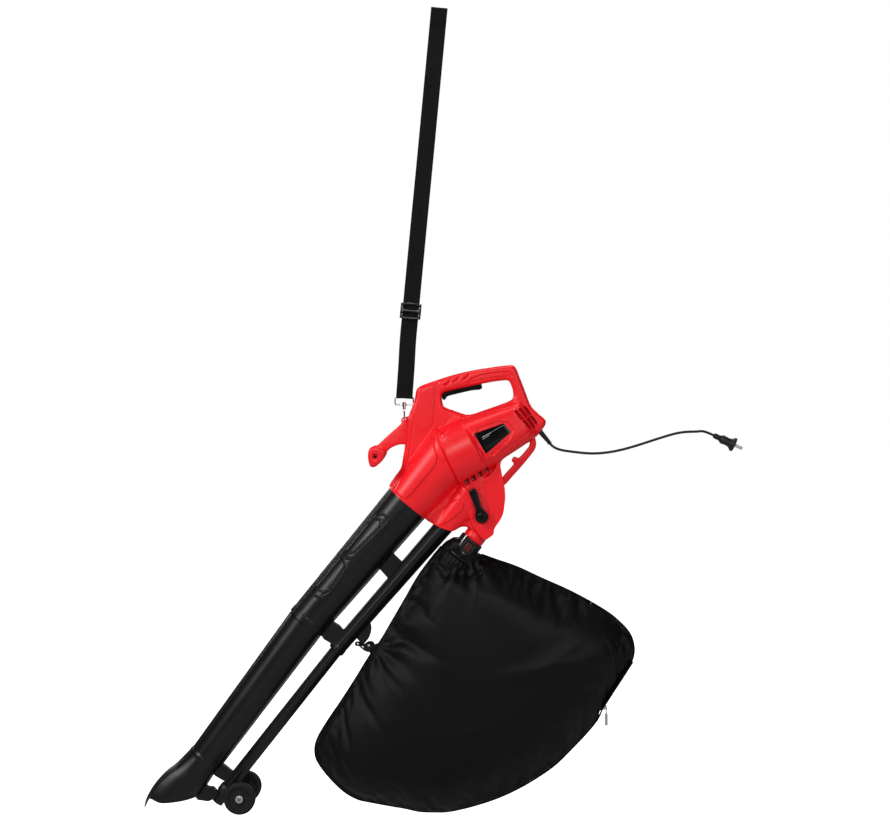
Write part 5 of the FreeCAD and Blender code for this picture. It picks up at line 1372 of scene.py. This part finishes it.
windows = [buckle_outline(17.6, -12.5, -2.5), buckle_outline(17.6, 2.5, 12.5)]
near = plate("buckle_front", buckle_outline(21.4, -17.4, 17.4), -6.4, -3.5, 1.0, *BUCKLE_PART, windows)
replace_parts(near, "strap_buckle")
plate("buckle_back", buckle_outline(21.4, -17.4, 17.4), 3.5, 6.2, 1.0, *BUCKLE_PART, windows)
for label, n in (("left", -19.4), ("right", 19.4)):
    ends = [on_buckle(s, n) for s in (-15.5, 15.5)]
    swept(f"buckle_side_{label}", ends, flat_section(1.8, 4.6, 1.2), *BUCKLE_PART)
for label, s in (("low", -15.0), ("mid", 0.0), ("high", 15.0)):
    ends = [on_buckle(s, n) for n in (-17.5, 17.5)]
    swept(f"buckle_bar_{label}", ends, flat_section(1.5, 0.9, 0.7), *BUCKLE_PART, side=-5.6)


# ---------------------------------------------------------------- power lead
sleeve_x, sleeve_z = unit(140.3)
profile = [(-10, 2.65), (-10, 6.4), (0, 6.4), (1.5, 7.6), (4.5, 7.6), (6, 6.2)]
for number in range(7):
    s, r = 8 + 4.4 * number, 5.9 - 0.22 * number
    profile += [(s - 1.0, r - 1.2), (s - 0.7, r), (s + 1.7, r - 0.1), (s + 2.0, r - 1.3)]
profile += [(38.6, 4.2), (40, 3.9), (40, 2.65)]
obj = turned("cord_relief", (604.4, 0, 776.4), (sleeve_x, 0, sleeve_z), profile, RUBBER, "machine", "rubber")
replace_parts(obj, "cord_sleeve")


def plug():
    """The moulded plug: a ribbed neck, a waisted grip and a flat oval face."""
    stations = [
        (0, 3.0, 3.0), (0.2, 5.2, 5.2), (9, 5.9, 5.9), (9.6, 4.9, 4.9), (10.8, 4.9, 4.9), (11.4, 6.1, 6.3),
        (12.6, 6.3, 6.6), (13.2, 5.3, 5.6), (14.2, 5.4, 5.7), (15, 7.2, 8.2), (19, 9.4, 11.2),
        (25, 8.8, 12.6), (31, 8.4, 13.2), (36, 9.4, 14.2), (40, 12.2, 15.4), (42, 14.4, 16.0),
        (45, 14.9, 16.2), (46, 14.2, 15.6), (46.1, 12.0, 13.0), (46.1, 0.0, 0.0),
    ]
    count = 72
    turn = full_turn(count)
    rows = []
    for s, tall, wide in [(0, 0.0, 0.0)] + stations:
        n = tall * np.sign(np.cos(turn)) * np.abs(np.cos(turn)) ** 0.85  # a little squarer than round
        y = wide * np.sign(np.sin(turn)) * np.abs(np.sin(turn)) ** 0.85
        x, z = beside((965, 763), 115.0, s, -n)
        rows.append(np.stack([x, y, z], 1))
    return make(
        "plug_moulding", np.concatenate(rows), grid_faces(len(rows), count), RUBBER, "machine", "rubber",
        35.0,
    )


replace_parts(plug(), "plug_body")


# ---------------------------------------------------------------- finishes of the CAD parts that stay in view
# front_handle_screw takes the darker red of the painted shade in its recess
FINISH = {
    "housing_screws": STEEL, "front_handle_screw": PAINTED_SHADE_RED, "trigger_spring": STEEL, "switch_body": DARK,
    "power_cord": RUBBER, "cord_clamp": DARK, "plug_pins": NICKEL, "fan_back_plate": FAN, "inlet_ring": FAN,
    "brush_holders": BRASS, "carbon_brushes": CARBON, "front_bearing": STEEL, "rear_bearing": STEEL,
    "stator_core": CORE, "stator_windings": COPPER, "tube_screws": DARK, "wheel_axle": STEEL,
    "motor_shaft": STEEL, "impeller": FAN, "impeller_nut": STEEL, "shredder_blade": STEEL,
    "armature_core": CORE, "armature_windings": COPPER, "commutator": COPPER, "switch_plunger": SATIN,
    "lever_shaft": SATIN, "lever_screw": SATIN, "hook_body": CHROME, "hook_gate": CHROME,
    "strap_ring": CHROME, "latch_spring": STEEL, "zip_slider": CHROME, "zip_puller": CHROME,
}
for name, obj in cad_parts.items():
    finish = FINISH.get(name, DARK)
    obj.data.materials.clear()
    obj.data.materials.append(finish)
    if name in (
        "hook_body", "hook_gate", "strap_ring", "zip_slider", "zip_puller", "plug_pins", "lever_screw",
        "tube_screws",
    ):
        rounding = obj.modifiers.new("rounding", "BEVEL")
        rounding.width = 0.0003
        rounding.segments = 2
        rounding.limit_method = "ANGLE"


# ---------------------------------------------------------------- studio
def studio():
    low, reach = -0.075, 12.0  # below the bag when it is slid right off
    corners = [(-reach, -reach, low), (reach, -reach, low), (reach, reach, low), (-reach, reach, low)]
    mesh = bpy.data.meshes.new("studio_floor")
    mesh.from_pydata(corners, [], [(0, 1, 2, 3)])
    mesh.materials.append(FLOOR)
    floor = bpy.data.objects.new("studio_floor", mesh)
    bpy.context.scene.collection.objects.link(floor)
    world = bpy.data.worlds.new("studio_world")
    world.use_nodes = True
    nodes, links = world.node_tree.nodes, world.node_tree.links
    ambient = nodes["Background"]
    ambient.inputs["Color"].default_value = (1, 1, 1, 1)
    ambient.inputs["Strength"].default_value = 0.09
    backdrop = add_node(nodes, "ShaderNodeBackground", Color=(1, 1, 1, 1), Strength=1.0)
    path = nodes.new("ShaderNodeLightPath")
    mix = nodes.new("ShaderNodeMixShader")
    links.new(path.outputs["Is Camera Ray"], mix.inputs["Fac"])
    links.new(ambient.outputs["Background"], mix.inputs[1])
    links.new(backdrop.outputs["Background"], mix.inputs[2])
    links.new(mix.outputs["Shader"], nodes["World Output"].inputs["Surface"])
    bpy.context.scene.world = world
    lamps = [
        ("key", (-1.8, -1.6, 2.2), (0.2, 0, 0.5), 0.5, 1.8, 48.0),
        ("fill", (2.4, -3.0, 1.3), (0.4, 0, 0.6), 1.4, 1.4, 20.0),
        ("front", (0.0, -3.6, 2.0), (0.4, 0, 0.6), 1.0, 0.8, 34.0),
        ("top", (0.5, -0.1, 3.4), (0.4, 0, 0.5), 1.6, 0.7, 22.0),
        ("back", (1.5, 3.0, 2.2), (0.4, 0, 0.6), 2.0, 1.2, 30.0),
        ("back_left", (-1.6, 2.6, 1.8), (0.3, 0, 0.6), 0.8, 1.6, 16.0),
    ]
    for name, spot, aim, wide, tall, power in lamps:
        light = bpy.data.lights.new(name + "_light", "AREA")
        light.shape = "RECTANGLE"
        light.size = wide
        light.size_y = tall
        light.energy = power
        lamp = bpy.data.objects.new(name + "_light", light)
        lamp.location = spot
        lamp.visible_camera = False
        lamp.rotation_euler = (Vector(aim) - Vector(spot)).to_track_quat("-Z", "Y").to_euler()
        bpy.context.scene.collection.objects.link(lamp)
    camera = bpy.data.cameras.new("photo_camera")
    camera.lens = 65.0
    camera.sensor_width = 36.0
    camera.clip_end = 50.0
    view = bpy.data.objects.new("photo_camera", camera)
    view.location = (0.414, -3.294, 0.815)
    view.rotation_euler = (math.radians(90), 0, 0)
    bpy.context.scene.collection.objects.link(view)
    bpy.context.scene.camera = view
    bpy.context.scene.view_settings.view_transform = "Standard"


studio()
